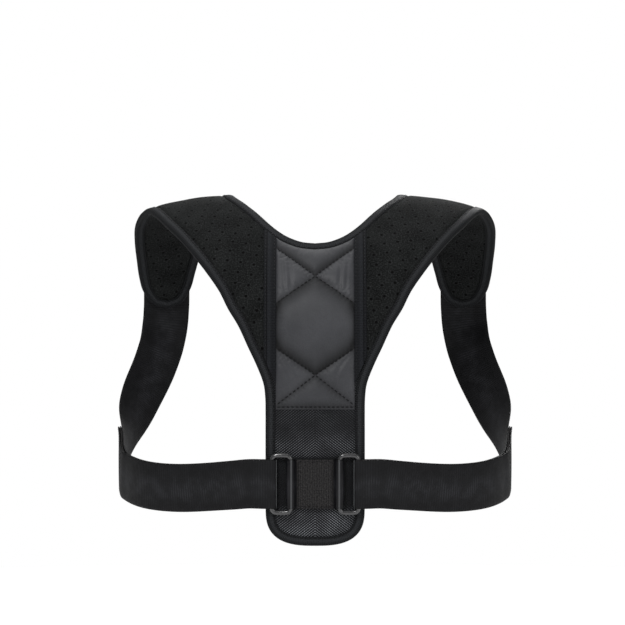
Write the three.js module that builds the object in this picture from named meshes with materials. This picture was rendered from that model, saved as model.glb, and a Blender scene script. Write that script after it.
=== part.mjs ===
import * as THREE from "three";

// Posture corrector, millimetres, +Z up, seen from -Y: the wide back of the brace.
// The origin is the middle of the centre panel's inner face. All cloth is placed on one
// smooth upright form (width x, depth y, height z) so the brace keeps the shape it has in use.

// The form the brace is shaped to
const CHEST = 355;
const SHOULDER = 496;
const DEPTH = 232;
const CROWN = 123;
const SIDE_POWER = 2.6;
const TOP_POWER = 1.8;
const FLARE_LOW = -105;
const FLARE_HIGH = 30;
const HOLLOW = 12;
const HOLLOW_TOP = -60;
const HOLLOW_SPAN = 134;
const QUARTER = 184.5;

// Cloth, tape and webbing
const CLOTH = 4.6;
const CROWN_PUFF = 0.8;
const SWELL = { start: 4, run: 20 };
const GAP = 0.3;
const TAPE_WIDE = 8.5;
const TAPE_WALL = 1.0;
const TAPE_LOW = -0.3;
const TAPE_HIGH = 4.9;
const TONGUE_LOW = 1.0;
const TONGUE_HIGH = 3.6;
const TONGUE_STEP = 0.5;
const PAD_POLE = 27;
const WEB_WIDE = 43.6;
const WEB_THICK = 1.6;
const WEB_LIFT = 0.4;

// Centre panel, insert and seams
const PANEL_HALF = 44.5;
const SIDE_TOP = -75;
const SIDE_PITCH = 17;
const MIDDLE_TOP = 60;
const FOOT_TOP = -160;
const FOOT_DROP = 34.4;
const FOOT_POWER = 2.8;
const SEAM = 43.35;
const SEAM_FOOT = -28.4;
const SEAM_START = 12;
const SEAM_END = 1.6;
const SEAM_TIP = 0.6;
const INSERT_HALF = 34.7;
const INSERT_FOOT = -69.3;
const INSERT_EDGE = 0.8;
const PUFF = 2.6;
const UPPER_CROSS = { foot: 23.2, side_top: 78, middle_top: 73 };
const LOWER_CROSS = { foot: -66.2, top: -16.2 };
const SEAM_TAPE = { inner: 35.2, outer: 46, inner_foot: -48, outer_foot: -24, thick: 0.9 };

// Ring, keeper and strap at the lower back
const BELT_LEVEL = -137.5;
const RING_LIFT = 9.4;
const BAR = 2.15;
const RING_INNER = 21.9;
const RING_OUTER = 38.2;
const RING_SLACK = 1.1;
const RING_HALF_HIGH = WEB_WIDE / 2 + RING_SLACK + BAR;
const RING_CORNER = 3.7;
const RING_MIDDLE = (RING_INNER + RING_OUTER) / 2;
const RING_ARCH = 0.6;
const BAR_CLEAR = 0.35;
const KEEPER_THICK = 1.4;
const KEEPER_GROOVE = [
  { out: 0.2, up: 0 },
  { out: 1.2, up: 0.45 },
  { out: 1.9, up: 1.4 },
];
const PATCH_HALF = 16.4;
const PATCH_THICK = 1.2;
const PATCH_CLEAR = 0.35;
const LEVEL_RUN = 8;
const CLIMB_RUN = 40;
const FALL_START = 1;
const FALL_RUN = 61;
const FREE_END = 250;
const HOOK_LONG = 62;
const HOOK_THICK = 1.3;
const HOOK_RISE = { before: 14, run: 12 };
const PAD_OVERLAP = 46;
const PAD_RISE = { before: 34, run: 26 };
const FRONT_SEATS = [0, 22, 40, 56];
const FRONT_LEAN = 0.02;
const FRONT_SPARE = 10;

// Edges of the cloth laid flat: reach is a share of half the shoulder breadth, rise a share
// of the quarter arc from the origin's level to the shoulder line (above 1 is the front).
const NECK_EDGE = [
  { reach: 0, rise: 0.463 },
  { reach: 0.048, rise: 0.472 },
  { reach: 0.094, rise: 0.501 },
  { reach: 0.129, rise: 0.539 },
  { reach: 0.165, rise: 0.595 },
  { reach: 0.22, rise: 0.709 },
  { reach: 0.257, rise: 0.791 },
  { reach: 0.292, rise: 0.888 },
  { reach: 0.311, rise: 1 },
  { reach: 0.335, rise: 1.117 },
  { reach: 0.367, rise: 1.247 },
  { reach: 0.403, rise: 1.388 },
  { reach: 0.44, rise: 1.539 },
  { reach: 0.464, rise: 1.669 },
  { reach: 0.483, rise: 1.767 },
  { reach: 0.517, rise: 1.848 },
  { reach: 0.573, rise: 1.881 },
];
const ARM_EDGE = [
  { reach: 0.573, rise: 1.881 },
  { reach: 0.629, rise: 1.848 },
  { reach: 0.663, rise: 1.767 },
  { reach: 0.677, rise: 1.669 },
  { reach: 0.684, rise: 1.539 },
  { reach: 0.688, rise: 1.388 },
  { reach: 0.683, rise: 1.236 },
  { reach: 0.662, rise: 1.1 },
  { reach: 0.633, rise: 0.98 },
  { reach: 0.603, rise: 0.848 },
  { reach: 0.554, rise: 0.676 },
  { reach: 0.511, rise: 0.569 },
  { reach: 0.449, rise: 0.424 },
  { reach: 0.398, rise: 0.31 },
  { reach: 0.348, rise: 0.196 },
  { reach: 0.316, rise: 0.104 },
  { reach: 0.278, rise: 0.018 },
  { reach: 0.243, rise: -0.084 },
  { reach: 0.212, rise: -0.173 },
  { reach: 0.187, rise: -0.262 },
  { reach: 0.1805, rise: -0.33 },
];
// The strap from the ring, along the back, round the side and up the front:
// reach is a share of half the chest, depth of the form's depth, drop of the belt's level.
const BELT_ROWS = [
  { reach: 0.259, depth: 0.02, drop: 1 },
  { reach: 0.33, depth: 0.03, drop: 1 },
  { reach: 0.42, depth: 0.04, drop: 1.014 },
  { reach: 0.552, depth: 0.063, drop: 1.031 },
  { reach: 0.704, depth: 0.109, drop: 1.041 },
  { reach: 0.845, depth: 0.184, drop: 1.031 },
  { reach: 0.93, depth: 0.264, drop: 1.007 },
  { reach: 0.978, depth: 0.353, drop: 0.975 },
  { reach: 1.006, depth: 0.5, drop: 0.873 },
  { reach: 0.997, depth: 0.647, drop: 0.713 },
  { reach: 0.935, depth: 0.8, drop: 0.495 },
  { reach: 0.862, depth: 0.9, drop: 0.247 },
  { reach: 0.811, depth: 0.944, drop: 0 },
];

// How finely each run is cut
const SEAM_STEPS = 11;
const NECK_MID_STEPS = 6;
const NECK_STEPS = 23;
const SIDE_STEPS = 10;
const FOOT_STEPS = 9;
const FOOT_POINTS = 16;
const CORNER_STEPS = 3;
const BAR_SIDES = 8;
const BAR_STEP = 7;
const BELT_STEP = 12.5;
const CROSS_ROWS = 8;
const HEXAGON_ROWS = 4;
const SEAM_TAPE_ROWS = 16;
const PATCH_CELLS = 4;

const COLOURS = {
  pad: 0x1b1d1e,
  tape: 0x2a2c2e,
  insert: 0x47494d,
  panel: 0x232527,
  webbing: 0x1f2022,
  ring: 0x0d0e10,
  keeper: 0x26282a,
};

const mix = (a, b, t) => a + (b - a) * t;
const clamp = (t, low, high) => Math.min(high, Math.max(low, t));

function smooth(t) {
  const c = clamp(t, 0, 1);
  return c * c * (3 - 2 * c);
}

// The form: field is below zero inside, zero on the surface
function halfBreadth(z) {
  const flare = smooth((z - FLARE_LOW) / (FLARE_HIGH - FLARE_LOW));
  return CHEST / 2 + ((SHOULDER - CHEST) / 2) * flare;
}

function midDepth(z) {
  return DEPTH / 2 + HOLLOW * (Math.min(0, z - HOLLOW_TOP) / HOLLOW_SPAN) ** 2;
}

function field(p) {
  const depth = Math.abs((p.y - midDepth(p.z)) / (DEPTH / 2)) ** TOP_POWER;
  const height = (Math.max(0, p.z) / CROWN) ** TOP_POWER;
  const section = (depth + height) ** (SIDE_POWER / TOP_POWER);
  const side = Math.abs(p.x / halfBreadth(p.z)) ** SIDE_POWER;
  return (side + section) ** (1 / SIDE_POWER) - 1;
}

function slope(p) {
  const h = 0.02;
  const along = (axis) => {
    const step = new THREE.Vector3().setComponent(axis, h);
    return (field(p.clone().add(step)) - field(p.clone().sub(step))) / (2 * h);
  };
  return new THREE.Vector3(along(0), along(1), along(2));
}

function settle(p) {
  const q = p.clone();
  for (let i = 0; i < 8; i += 1) {
    const g = slope(q);
    q.addScaledVector(g, -field(q) / g.lengthSq());
  }
  return q;
}

function raise(p, lift) {
  return p.clone().addScaledVector(slope(p).normalize(), lift);
}

// A point of the flat layout (x, rise in mm) seated on the form
function seat(x, rise) {
  const turn = (Math.max(0, rise) / QUARTER) * (Math.PI / 2);
  let z = Math.min(0, rise);
  let y = 0;
  for (let i = 0; i < 12; i += 1) {
    const share = (1 - Math.abs(x / halfBreadth(z)) ** SIDE_POWER) ** (1 / SIDE_POWER);
    if (rise <= 0) {
      y = midDepth(z) - (DEPTH / 2) * share;
    } else {
      const across = Math.abs(Math.cos(turn) / (DEPTH / 2)) ** TOP_POWER;
      const up = Math.abs(Math.sin(turn) / CROWN) ** TOP_POWER;
      const reach = share / (across + up) ** (1 / TOP_POWER);
      z = reach * Math.sin(turn);
      y = DEPTH / 2 - reach * Math.cos(turn);
    }
  }
  return new THREE.Vector3(x, y, z);
}

const onForm = (x, rise, lift) => raise(seat(x, rise), lift);

// A closed mesh gathered face by face, turned outward at the end
class Shell {
  constructor() {
    this.index = new Map();
    this.points = [];
    this.faces = [];
  }

  corner(p) {
    const key = [p.x, p.y, p.z].map((c) => Math.round(c * 2000)).join(" ");
    if (!this.index.has(key)) {
      this.index.set(key, this.points.length);
      this.points.push(p);
    }
    return this.index.get(key);
  }

  face(a, b, c) {
    const [i, j, k] = [a, b, c].map((p) => this.corner(p));
    if (i !== j && j !== k && k !== i) this.faces.push([i, j, k]);
  }

  quad(a, b, c, d) {
    this.face(a, b, c);
    this.face(a, c, d);
  }

  volume() {
    const cross = new THREE.Vector3();
    return this.faces.reduce((sum, [i, j, k]) => {
      cross.crossVectors(this.points[j], this.points[k]);
      return sum + this.points[i].dot(cross) / 6;
    }, 0);
  }

  mesh(name, colour) {
    const faces = this.volume() < 0 ? this.faces.map(([i, j, k]) => [i, k, j]) : this.faces;
    const geometry = new THREE.BufferGeometry();
    const flat = this.points.flatMap((p) => [p.x, p.y, p.z]);
    geometry.setAttribute("position", new THREE.Float32BufferAttribute(flat, 3));
    geometry.setIndex(faces.flat());
    geometry.computeVertexNormals();
    const material = new THREE.MeshStandardMaterial({ color: colour, roughness: 0.7 });
    const mesh = new THREE.Mesh(geometry, material);
    mesh.name = name;
    return mesh;
  }
}

function mirrored(mesh, name) {
  const geometry = mesh.geometry.clone();
  geometry.scale(-1, 1, 1);
  const index = geometry.getIndex();
  for (let i = 0; i < index.count; i += 3) {
    const kept = index.getX(i + 1);
    index.setX(i + 1, index.getX(i + 2));
    index.setX(i + 2, kept);
  }
  geometry.computeVertexNormals();
  const copy = new THREE.Mesh(geometry, mesh.material);
  copy.name = name;
  return copy;
}

// A sheet of rows and columns with an upper and a lower face
function slab(rows, columns, point) {
  const shell = new Shell();
  const at = (r, k, side) => point(r / rows, k / columns, side, r, k);
  for (let r = 0; r < rows; r += 1) {
    for (let k = 0; k < columns; k += 1) {
      for (const side of [1, -1]) {
        const a = at(r, k, side);
        const b = at(r, k + 1, side);
        const c = at(r + 1, k + 1, side);
        const d = at(r + 1, k, side);
        const falling = (r + k) % 2 === 0;
        if (side > 0 && falling) shell.quad(a, b, c, d);
        if (side > 0 && !falling) shell.quad(b, c, d, a);
        if (side < 0 && falling) shell.quad(c, b, a, d);
        if (side < 0 && !falling) shell.quad(b, a, d, c);
      }
    }
  }
  for (let r = 0; r < rows; r += 1) {
    shell.quad(at(r, 0, 1), at(r + 1, 0, 1), at(r + 1, 0, -1), at(r, 0, -1));
    const k = columns;
    shell.quad(at(r + 1, k, 1), at(r, k, 1), at(r, k, -1), at(r + 1, k, -1));
  }
  for (let k = 0; k < columns; k += 1) {
    shell.quad(at(0, k + 1, 1), at(0, k, 1), at(0, k, -1), at(0, k + 1, -1));
    const r = rows;
    shell.quad(at(r, k, 1), at(r, k + 1, 1), at(r, k + 1, -1), at(r, k, -1));
  }
  return shell;
}

// A run of matching closed sections, capped at both ends unless it closes on itself
function run(rings, capFaces) {
  const shell = new Shell();
  const count = rings[0].length;
  const spans = capFaces ? rings.length - 1 : rings.length;
  for (let i = 0; i < spans; i += 1) {
    const near = rings[i];
    const far = rings[(i + 1) % rings.length];
    for (let j = 0; j < count; j += 1) {
      const k = (j + 1) % count;
      shell.quad(near[j], near[k], far[k], far[j]);
    }
  }
  if (capFaces) {
    const last = rings[rings.length - 1];
    for (const [a, b, c] of capFaces) {
      shell.face(rings[0][a], rings[0][c], rings[0][b]);
      shell.face(last[a], last[b], last[c]);
    }
  }
  return shell;
}

// Cloth bounded by one closed loop: each stop holds its flat points from the rim inward
function cloth(stops) {
  const shell = new Shell();
  const point = (stop, ring, side) => {
    const { x, rise, low, high } = stop[ring];
    return onForm(x, rise, side > 0 ? high : low);
  };
  stops.forEach((stop, i) => {
    const next = stops[(i + 1) % stops.length];
    shell.quad(point(stop, 0, -1), point(next, 0, -1), point(next, 0, 1), point(stop, 0, 1));
    for (let ring = 0; ring + 1 < stop.length; ring += 1) {
      const corners = [
        [stop, ring],
        [next, ring],
        [next, ring + 1],
        [stop, ring + 1],
      ];
      const upper = corners.map(([s, r]) => point(s, r, 1));
      const lower = corners.map(([s, r]) => point(s, r, -1)).reverse();
      shell.quad(...upper);
      shell.quad(lower[3], lower[0], lower[1], lower[2]);
    }
  });
  return shell;
}

// Edges of the flat layout as smooth curves
function edgeCurve(points) {
  const curve = new THREE.CatmullRomCurve3(points, false, "centripetal");
  curve.arcLengthDivisions = 3000;
  return curve;
}

const flatPoint = ({ reach, rise }) =>
  new THREE.Vector3((reach * SHOULDER) / 2, rise * QUARTER, 0);

function neckCurve() {
  return edgeCurve(NECK_EDGE.map(flatPoint));
}

function armCurve() {
  const points = ARM_EDGE.map(flatPoint);
  for (let rise = SIDE_TOP; rise > FOOT_TOP; rise -= SIDE_PITCH) {
    points.push(new THREE.Vector3(PANEL_HALF, rise, 0));
  }
  for (let i = 0; i <= FOOT_POINTS; i += 1) {
    const turn = (i / FOOT_POINTS) * (Math.PI / 2);
    const x = PANEL_HALF * Math.max(0, Math.cos(turn)) ** (2 / FOOT_POWER);
    const rise = FOOT_TOP - FOOT_DROP * Math.sin(turn) ** (2 / FOOT_POWER);
    points.push(new THREE.Vector3(x, rise, 0));
  }
  return edgeCurve(points);
}

const NECK = neckCurve();
const ARM = armCurve();

// A stop on an edge: its flat place and the direction into the cloth
function stopAt(curve, u) {
  const p = curve.getPointAt(u);
  const t = curve.getTangentAt(u);
  if (curve === NECK && (u === 0 || u === 1)) t.set(1, 0, 0);
  if (curve === ARM && u === 0) t.set(1, 0, 0);
  if (curve === ARM && u === 1) t.set(-1, 0, 0);
  return { x: p.x, rise: p.y, inX: t.y, inRise: -t.x };
}

const inward = (stop, d) => ({ x: stop.x + d * stop.inX, rise: stop.rise + d * stop.inRise });

function seek(test) {
  let low = 0;
  let high = 1;
  for (let i = 0; i < 40; i += 1) {
    const mid = (low + high) / 2;
    if (test(mid)) low = mid;
    else high = mid;
  }
  return (low + high) / 2;
}

// Height of the neck edge, taken in by d, at a place x on the back
function neckRise(x, d) {
  if (x <= 0) return inward(stopAt(NECK, 0), d).rise;
  const u = seek((t) => t < 0.45 && inward(stopAt(NECK, t), d).x < x);
  return inward(stopAt(NECK, u), d).rise;
}

const spaced = (from, to, count) =>
  Array.from({ length: count + 1 }, (_, i) => mix(from, to, i / count));

const RIM = TAPE_WALL + GAP;
const ROOT = TAPE_WIDE + GAP;
const CORE = ROOT + TONGUE_STEP;
const neckSplit = seek((t) => t < 0.45 && inward(stopAt(NECK, t), RIM).x < SEAM);
const armSplit = seek((t) => stopAt(ARM, t).rise > SEAM_FOOT);
const footSplit = seek((t) => stopAt(ARM, t).rise > FOOT_TOP);

const neckMid = spaced(0, neckSplit, NECK_MID_STEPS).map((u) => stopAt(NECK, u));
const neckPad = spaced(neckSplit, 1, NECK_STEPS).map((u) => stopAt(NECK, u));
const armPad = spaced(0, armSplit, NECK_STEPS + SEAM_STEPS + 2).map((u) => stopAt(ARM, u));
const armSide = [
  ...spaced(armSplit, footSplit, SIDE_STEPS),
  ...spaced(footSplit, 1, FOOT_STEPS).slice(1),
].map((u) => stopAt(ARM, u));
const rootRise = neckRise(SEAM, ROOT);

const flip = (stop) => ({ ...stop, x: -stop.x, inX: -stop.inX });

function bothSides(right) {
  return [...right.slice(1).reverse().map(flip), ...right];
}

// Folded tape round an edge
const TAPE_SECTION = [
  [0, TAPE_LOW],
  [TAPE_WIDE, TAPE_LOW],
  [TAPE_WIDE, TAPE_LOW + TAPE_WALL],
  [TAPE_WALL, TAPE_LOW + TAPE_WALL],
  [TAPE_WALL, TAPE_HIGH - TAPE_WALL],
  [TAPE_WIDE, TAPE_HIGH - TAPE_WALL],
  [TAPE_WIDE, TAPE_HIGH],
  [0, TAPE_HIGH],
];

function tape(name, stops) {
  const rings = stops.map((stop) =>
    TAPE_SECTION.map(([d, lift]) => {
      const { x, rise } = inward(stop, d);
      return onForm(x, rise, lift);
    }),
  );
  const outline = TAPE_SECTION.map(([d, lift]) => new THREE.Vector2(d, lift));
  const caps = THREE.ShapeUtils.triangulateShape(outline, []);
  return run(rings, caps).mesh(name, COLOURS.tape);
}

// Drop the shared tip of a tape by half the gap so two tapes meet end to end
function cutTip(stop, way) {
  return { ...stop, x: stop.x + way * 0.6 * GAP };
}

function neckBinding() {
  const right = [...neckMid, ...neckPad.slice(1)];
  right[right.length - 1] = cutTip(right[right.length - 1], -1);
  return tape("neck_binding", bothSides(right));
}

function outerBinding() {
  const right = [...armPad, ...armSide.slice(1)];
  right[0] = cutTip(right[0], 1);
  return tape("outer_binding", bothSides([...right].reverse()));
}

// Flat points of a stop, with the lifts of a bound rim or of a sewn seam
const thin = (p) => ({ ...p, low: TONGUE_LOW, high: TONGUE_HIGH });
const full = (p, puff = 0) => ({ ...p, low: 0, high: CLOTH + puff });

function boundStop(stop) {
  return [thin(inward(stop, RIM)), thin(inward(stop, ROOT)), full(inward(stop, CORE))];
}

// A stop on the seam; side is +1 for the pad, -1 for the panel
function seamStop(rise, side, drop, thinned) {
  const x = (step) => SEAM + side * (GAP / 2 + step);
  const skin = thinned ? thin : full;
  return [
    skin({ x: x(0), rise }),
    skin({ x: x(TONGUE_STEP), rise: rise - drop }),
    full({ x: x(2 * TONGUE_STEP), rise: rise - 2 * drop }),
  ];
}

function seamRises() {
  return spaced(SEAM_FOOT + SEAM_START, rootRise - SEAM_END, SEAM_STEPS - 1);
}

function addInner(stop, middle, shares) {
  const core = stop[2];
  const rings = shares.map(([share, puff]) => {
    const place = { x: mix(core.x, middle.x, share), rise: mix(core.rise, middle.rise, share) };
    return full(place, puff * middle.swell);
  });
  return [...stop, ...rings];
}

// Shoulder pad: inner stops up the seam and the neck edge, outer stops up the arm opening
function shoulderPad(name) {
  const foot = seamStop(SEAM_FOOT + GAP, 1, -0.4, true);
  const top = seamStop(rootRise - SEAM_TIP, 1, 0.4, true);
  const side = SEAM + GAP / 2;
  const corner = [
    thin({ x: side, rise: inward(neckPad[0], RIM).rise }),
    thin({ x: side + TONGUE_STEP, rise: rootRise + GAP }),
    full({ x: side + 2 * TONGUE_STEP, rise: rootRise - GAP }),
  ];
  const seam = seamRises().map((rise) => seamStop(rise, 1, 0.2, false));
  const neck = neckPad.slice(1, -1).map(boundStop);
  const inner = [foot, ...seam, top, corner, ...neck];
  const outer = [...armPad].reverse().map(boundStop);
  outer[0] = outer[0].map((p) => ({ ...p, rise: p.rise + GAP }));
  const tip = boundStop(neckPad[neckPad.length - 1]);
  const poleRise = tip[0].rise - PAD_POLE;
  const pole = { x: tip[0].x, rise: poleRise, swell: 1 };
  const middles = inner.map((stop, i) => {
    const near = stop[2];
    const far = outer[i][2];
    const rise = (near.rise + far.rise) / 2 + (i === 0 ? 1 : 0);
    if (rise > poleRise) return pole;
    const half = Math.hypot(near.x - far.x, near.rise - far.rise) / 2;
    return { x: (near.x + far.x) / 2, rise, swell: smooth((half - SWELL.start) / SWELL.run) };
  });
  const shares = [
    [0.3, CROWN_PUFF * 0.7],
    [0.65, CROWN_PUFF],
    [1, CROWN_PUFF],
  ];
  const stops = [
    ...inner.map((stop, i) => addInner(stop, middles[i], shares)),
    addInner(tip, pole, shares),
    ...inner.map((_, i) => addInner(outer[i], middles[i], shares)).reverse(),
  ];
  return cloth(stops).mesh(name, COLOURS.pad);
}

function centrePanel() {
  const side = SEAM - GAP / 2;
  const corner = [
    thin({ x: side, rise: inward(neckPad[0], RIM).rise }),
    thin({ x: side - TONGUE_STEP, rise: rootRise - 3 * GAP }),
    full({ x: side - 2 * TONGUE_STEP, rise: rootRise - 6 * GAP }),
  ];
  const neck = neckMid.slice(0, -1).map((stop) => {
    const bound = boundStop(stop);
    return bound[1].x > corner[2].x ? [bound[0], corner[1], corner[2]] : bound;
  });
  const seam = [
    seamStop(rootRise - SEAM_TIP, -1, 0.8, true),
    ...seamRises().reverse().map((rise) => seamStop(rise, -1, 0.6, false)),
    seamStop(SEAM_FOOT, -1, 0.5, true),
  ];
  const first = armSide[0];
  const shoulder = [
    thin({ x: first.x - RIM * 1.1, rise: first.rise - 0.7 }),
    thin({ x: first.x - ROOT * 1.12, rise: first.rise - 1.2 }),
    full({ x: first.x - CORE * 1.13, rise: first.rise - 1.7 }),
  ];
  const right = [...neck, corner, ...seam, shoulder, ...armSide.slice(1).map(boundStop)];
  const stops = right.map((stop) => {
    const middle = { x: 0, rise: clamp(stop[2].rise, FOOT_TOP, MIDDLE_TOP), swell: 0 };
    return addInner(stop, middle, [[0.5, 0], [1, 0]]);
  });
  const left = stops
    .slice(1, -1)
    .map((stop) => stop.map((p) => ({ ...p, x: -p.x })))
    .reverse();
  return cloth([...stops, ...left]).mesh("centre_panel", COLOURS.panel);
}

// Quilted insert: two stitched crosses with a large hexagon between them
function insertRises() {
  const rows = [() => INSERT_FOOT];
  for (let i = 0; i <= CROSS_ROWS; i += 1) {
    rows.push(() => mix(LOWER_CROSS.foot, LOWER_CROSS.top, i / CROSS_ROWS));
  }
  for (let i = 1; i < HEXAGON_ROWS; i += 1) {
    rows.push(() => mix(LOWER_CROSS.top, UPPER_CROSS.foot, i / HEXAGON_ROWS));
  }
  for (let i = 0; i <= CROSS_ROWS; i += 1) {
    rows.push((x) => {
      const edge = Math.abs(x) / INSERT_HALF;
      const top = mix(UPPER_CROSS.middle_top, UPPER_CROSS.side_top, edge * edge);
      return mix(UPPER_CROSS.foot, top, i / CROSS_ROWS);
    });
  }
  rows.push((x) => neckRise(Math.abs(x), ROOT) - GAP);
  return rows;
}

function quiltedInsert() {
  const rises = insertRises();
  const last = rises.length - 1;
  const upper = CROSS_ROWS + HEXAGON_ROWS + 1;
  const base = CLOTH + GAP;
  const onCross = (r, k, foot) => {
    const step = r - foot;
    if (step < 0 || step > CROSS_ROWS) return Infinity;
    return Math.min(Math.abs(step - k), Math.abs(CROSS_ROWS - step - k));
  };
  const puff = (r, k) => {
    const rim = Math.min(r, last - r, k, CROSS_ROWS - k);
    const cross = Math.min(onCross(r, k, 1), onCross(r, k, upper));
    const near = Math.min(rim, cross);
    return INSERT_EDGE + PUFF * (clamp(near, 0, 2) / 2) ** 0.7;
  };
  const point = (s, t, side, r, k) => {
    const x = mix(-INSERT_HALF, INSERT_HALF, t);
    const lift = side > 0 ? base + puff(r, k) : base;
    return onForm(x, rises[r](x), lift);
  };
  return slab(last, CROSS_ROWS, point).mesh("quilted_insert", COLOURS.insert);
}

function seamTape(name) {
  const base = CLOTH + 2 * GAP;
  const point = (s, t, side) => {
    const x = mix(SEAM_TAPE.inner, SEAM_TAPE.outer, t);
    const foot = mix(SEAM_TAPE.inner_foot, SEAM_TAPE.outer_foot, t);
    const rise = mix(foot, neckRise(x, ROOT) - 0.2, s);
    return onForm(x, rise, side > 0 ? base + SEAM_TAPE.thick : base);
  };
  return slab(SEAM_TAPE_ROWS, 2, point).mesh(name, COLOURS.tape);
}

// Oval ring of round bar, its long sides upright
function ring(name) {
  const half = RING_OUTER - RING_MIDDLE;
  const corners = [
    [1, 1],
    [-1, 1],
    [-1, -1],
    [1, -1],
  ];
  const path = corners.flatMap(([sx, sz], corner) =>
    spaced(corner, corner + 1, CORNER_STEPS).map((quarters) => {
      const turn = (quarters * Math.PI) / 2;
      return {
        x: RING_MIDDLE + sx * (half - RING_CORNER) + RING_CORNER * Math.cos(turn),
        rise: sz * (RING_HALF_HIGH - RING_CORNER) + RING_CORNER * Math.sin(turn),
        inX: Math.cos(turn),
        inRise: Math.sin(turn),
      };
    }),
  );
  const stops = [];
  path.forEach((stop, i) => {
    const next = path[(i + 1) % path.length];
    stops.push(stop);
    const long = Math.hypot(next.x - stop.x, next.rise - stop.rise);
    const steps = Math.round(long / BAR_STEP);
    for (let j = 1; j < steps; j += 1) {
      const place = { x: mix(stop.x, next.x, j / steps), rise: mix(stop.rise, next.rise, j / steps) };
      stops.push({ ...stop, ...place });
    }
  });
  const rings = stops.map((stop) => {
    const level = 1 - ((stop.x - RING_MIDDLE) / half) ** 2;
    const arch = RING_ARCH * Math.max(0, level) * Math.sign(stop.rise);
    return spaced(0.5, BAR_SIDES - 0.5, BAR_SIDES - 1).map((j) => {
      const turn = (j / BAR_SIDES) * 2 * Math.PI;
      const out = BAR * Math.cos(turn);
      const x = stop.x + out * stop.inX;
      const rise = BELT_LEVEL + stop.rise + arch + out * stop.inRise;
      return onForm(x, rise, RING_LIFT + BAR * Math.sin(turn));
    });
  });
  return run(rings, null).mesh(name, COLOURS.ring);
}

// Flat webbing loop round both inner bars, pressed together in the middle
const keeperRound = BAR + BAR_CLEAR + KEEPER_THICK / 2;
const keeperBack = RING_LIFT - keeperRound;
const keeperDip = keeperBack + KEEPER_THICK + GAP;

function keeper() {
  const groove = KEEPER_GROOVE.map(({ out, up }) => [PATCH_HALF + out, keeperDip + up]);
  const arc = [150, 120, 90, 60, 30, 0, -30, -60, -90].map((degrees) => {
    const turn = (degrees * Math.PI) / 180;
    return [RING_INNER + keeperRound * Math.cos(turn), RING_LIFT + keeperRound * Math.sin(turn)];
  });
  const right = [
    [0, keeperDip],
    [PATCH_HALF / 2, keeperDip],
    ...groove,
    ...arc,
    [(RING_INNER * 2) / 3, keeperBack],
    [RING_INNER / 3, keeperBack],
    [0, keeperBack],
  ];
  const left = right.slice(1, -1).reverse().map(([x, lift]) => [-x, lift]);
  const path = [...right, ...left];
  const half = KEEPER_THICK / 2;
  const rings = path.map(([x, lift], i) => {
    const before = path[(i + path.length - 1) % path.length];
    const after = path[(i + 1) % path.length];
    const way = new THREE.Vector2(after[0] - before[0], after[1] - before[1]).normalize();
    const place = (side, end) => {
      const away = side * half;
      const rise = BELT_LEVEL + (end * WEB_WIDE) / 2;
      return onForm(x - way.y * away, rise, lift + way.x * away);
    };
    const ends = spaced(-1, 1, 3);
    return [...ends.map((end) => place(1, end)), ...ends.reverse().map((end) => place(-1, end))];
  });
  return run(rings, null).mesh("ring_keeper", COLOURS.keeper);
}

function keeperPatch() {
  const base = keeperDip + KEEPER_THICK / 2 + PATCH_CLEAR;
  const point = (s, t, side) => {
    const x = mix(-PATCH_HALF, PATCH_HALF, t);
    const rise = BELT_LEVEL + mix(-WEB_WIDE / 2, WEB_WIDE / 2, s);
    return onForm(x, rise, side > 0 ? base + PATCH_THICK : base);
  };
  return slab(PATCH_CELLS, PATCH_CELLS, point).mesh("keeper_patch", COLOURS.keeper);
}

// The strap's way over the form, from the ring to the front end of the pad
function beltCurve() {
  const start = seat(RING_MIDDLE, BELT_LEVEL);
  const round = BELT_ROWS.map(({ reach, depth, drop }) =>
    settle(new THREE.Vector3((reach * CHEST) / 2, depth * DEPTH, drop * BELT_LEVEL)),
  );
  const tip = neckPad[neckPad.length - 1];
  const front = FRONT_SEATS.map((back) => seat(tip.x - back * FRONT_LEAN, tip.rise - back));
  return edgeCurve([start, ...round, ...front]);
}

const BELT = beltCurve();
const BELT_LONG = BELT.getLength() - FRONT_SPARE;

function beltPoint(s, across, lift) {
  const u = clamp(s / BELT.getLength(), 0, 1);
  const centre = settle(BELT.getPointAt(u));
  const up = slope(centre).normalize();
  const wide = new THREE.Vector3().crossVectors(up, BELT.getTangentAt(u)).normalize();
  return raise(settle(centre.addScaledVector(wide, across)), lift);
}

const turnAt = RING_OUTER - RING_MIDDLE;
const innerLift = WEB_LIFT + WEB_THICK / 2;
const outerLift = innerLift + WEB_THICK + GAP;

// Shared stops along the strap, so that its two layers and the tab nest
function beltStations() {
  const stops = [];
  const last = BELT_LONG - BELT_STEP / 2;
  for (let s = turnAt + LEVEL_RUN; s < last; s += BELT_STEP) stops.push(s);
  return stops;
}

function strapProfile() {
  const round = BAR + BAR_CLEAR + WEB_THICK / 2;
  const onPad = CLOTH + CROWN_PUFF + GAP + WEB_THICK / 2;
  const under = RING_LIFT - round;
  const over = RING_LIFT + round;
  const padTip = BELT_LONG - PAD_OVERLAP;
  const inner = (s) => {
    const ring = mix(under, innerLift, smooth((s - turnAt - LEVEL_RUN) / CLIMB_RUN));
    return mix(ring, onPad, smooth((s - padTip + PAD_RISE.before) / PAD_RISE.run));
  };
  const outer = (s) => {
    const ring = mix(over, outerLift, smooth((s - turnAt - FALL_START) / FALL_RUN));
    const tab = FREE_END - HOOK_LONG - HOOK_RISE.before;
    return ring + (HOOK_THICK + GAP) * smooth((s - tab) / HOOK_RISE.run);
  };
  const grid = beltStations();
  const back = [BELT_LONG, ...[...grid].reverse()].map((s) => [s, inner(s)]);
  const fold = spaced(0, 180, 6).map((degrees) => {
    const turn = (degrees * Math.PI) / 180;
    return [turnAt - round * Math.sin(turn), RING_LIFT - round * Math.cos(turn)];
  });
  const out = grid.filter((s) => s <= FREE_END).map((s) => [s, outer(s)]);
  return [...back, ...fold, ...out];
}

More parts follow.
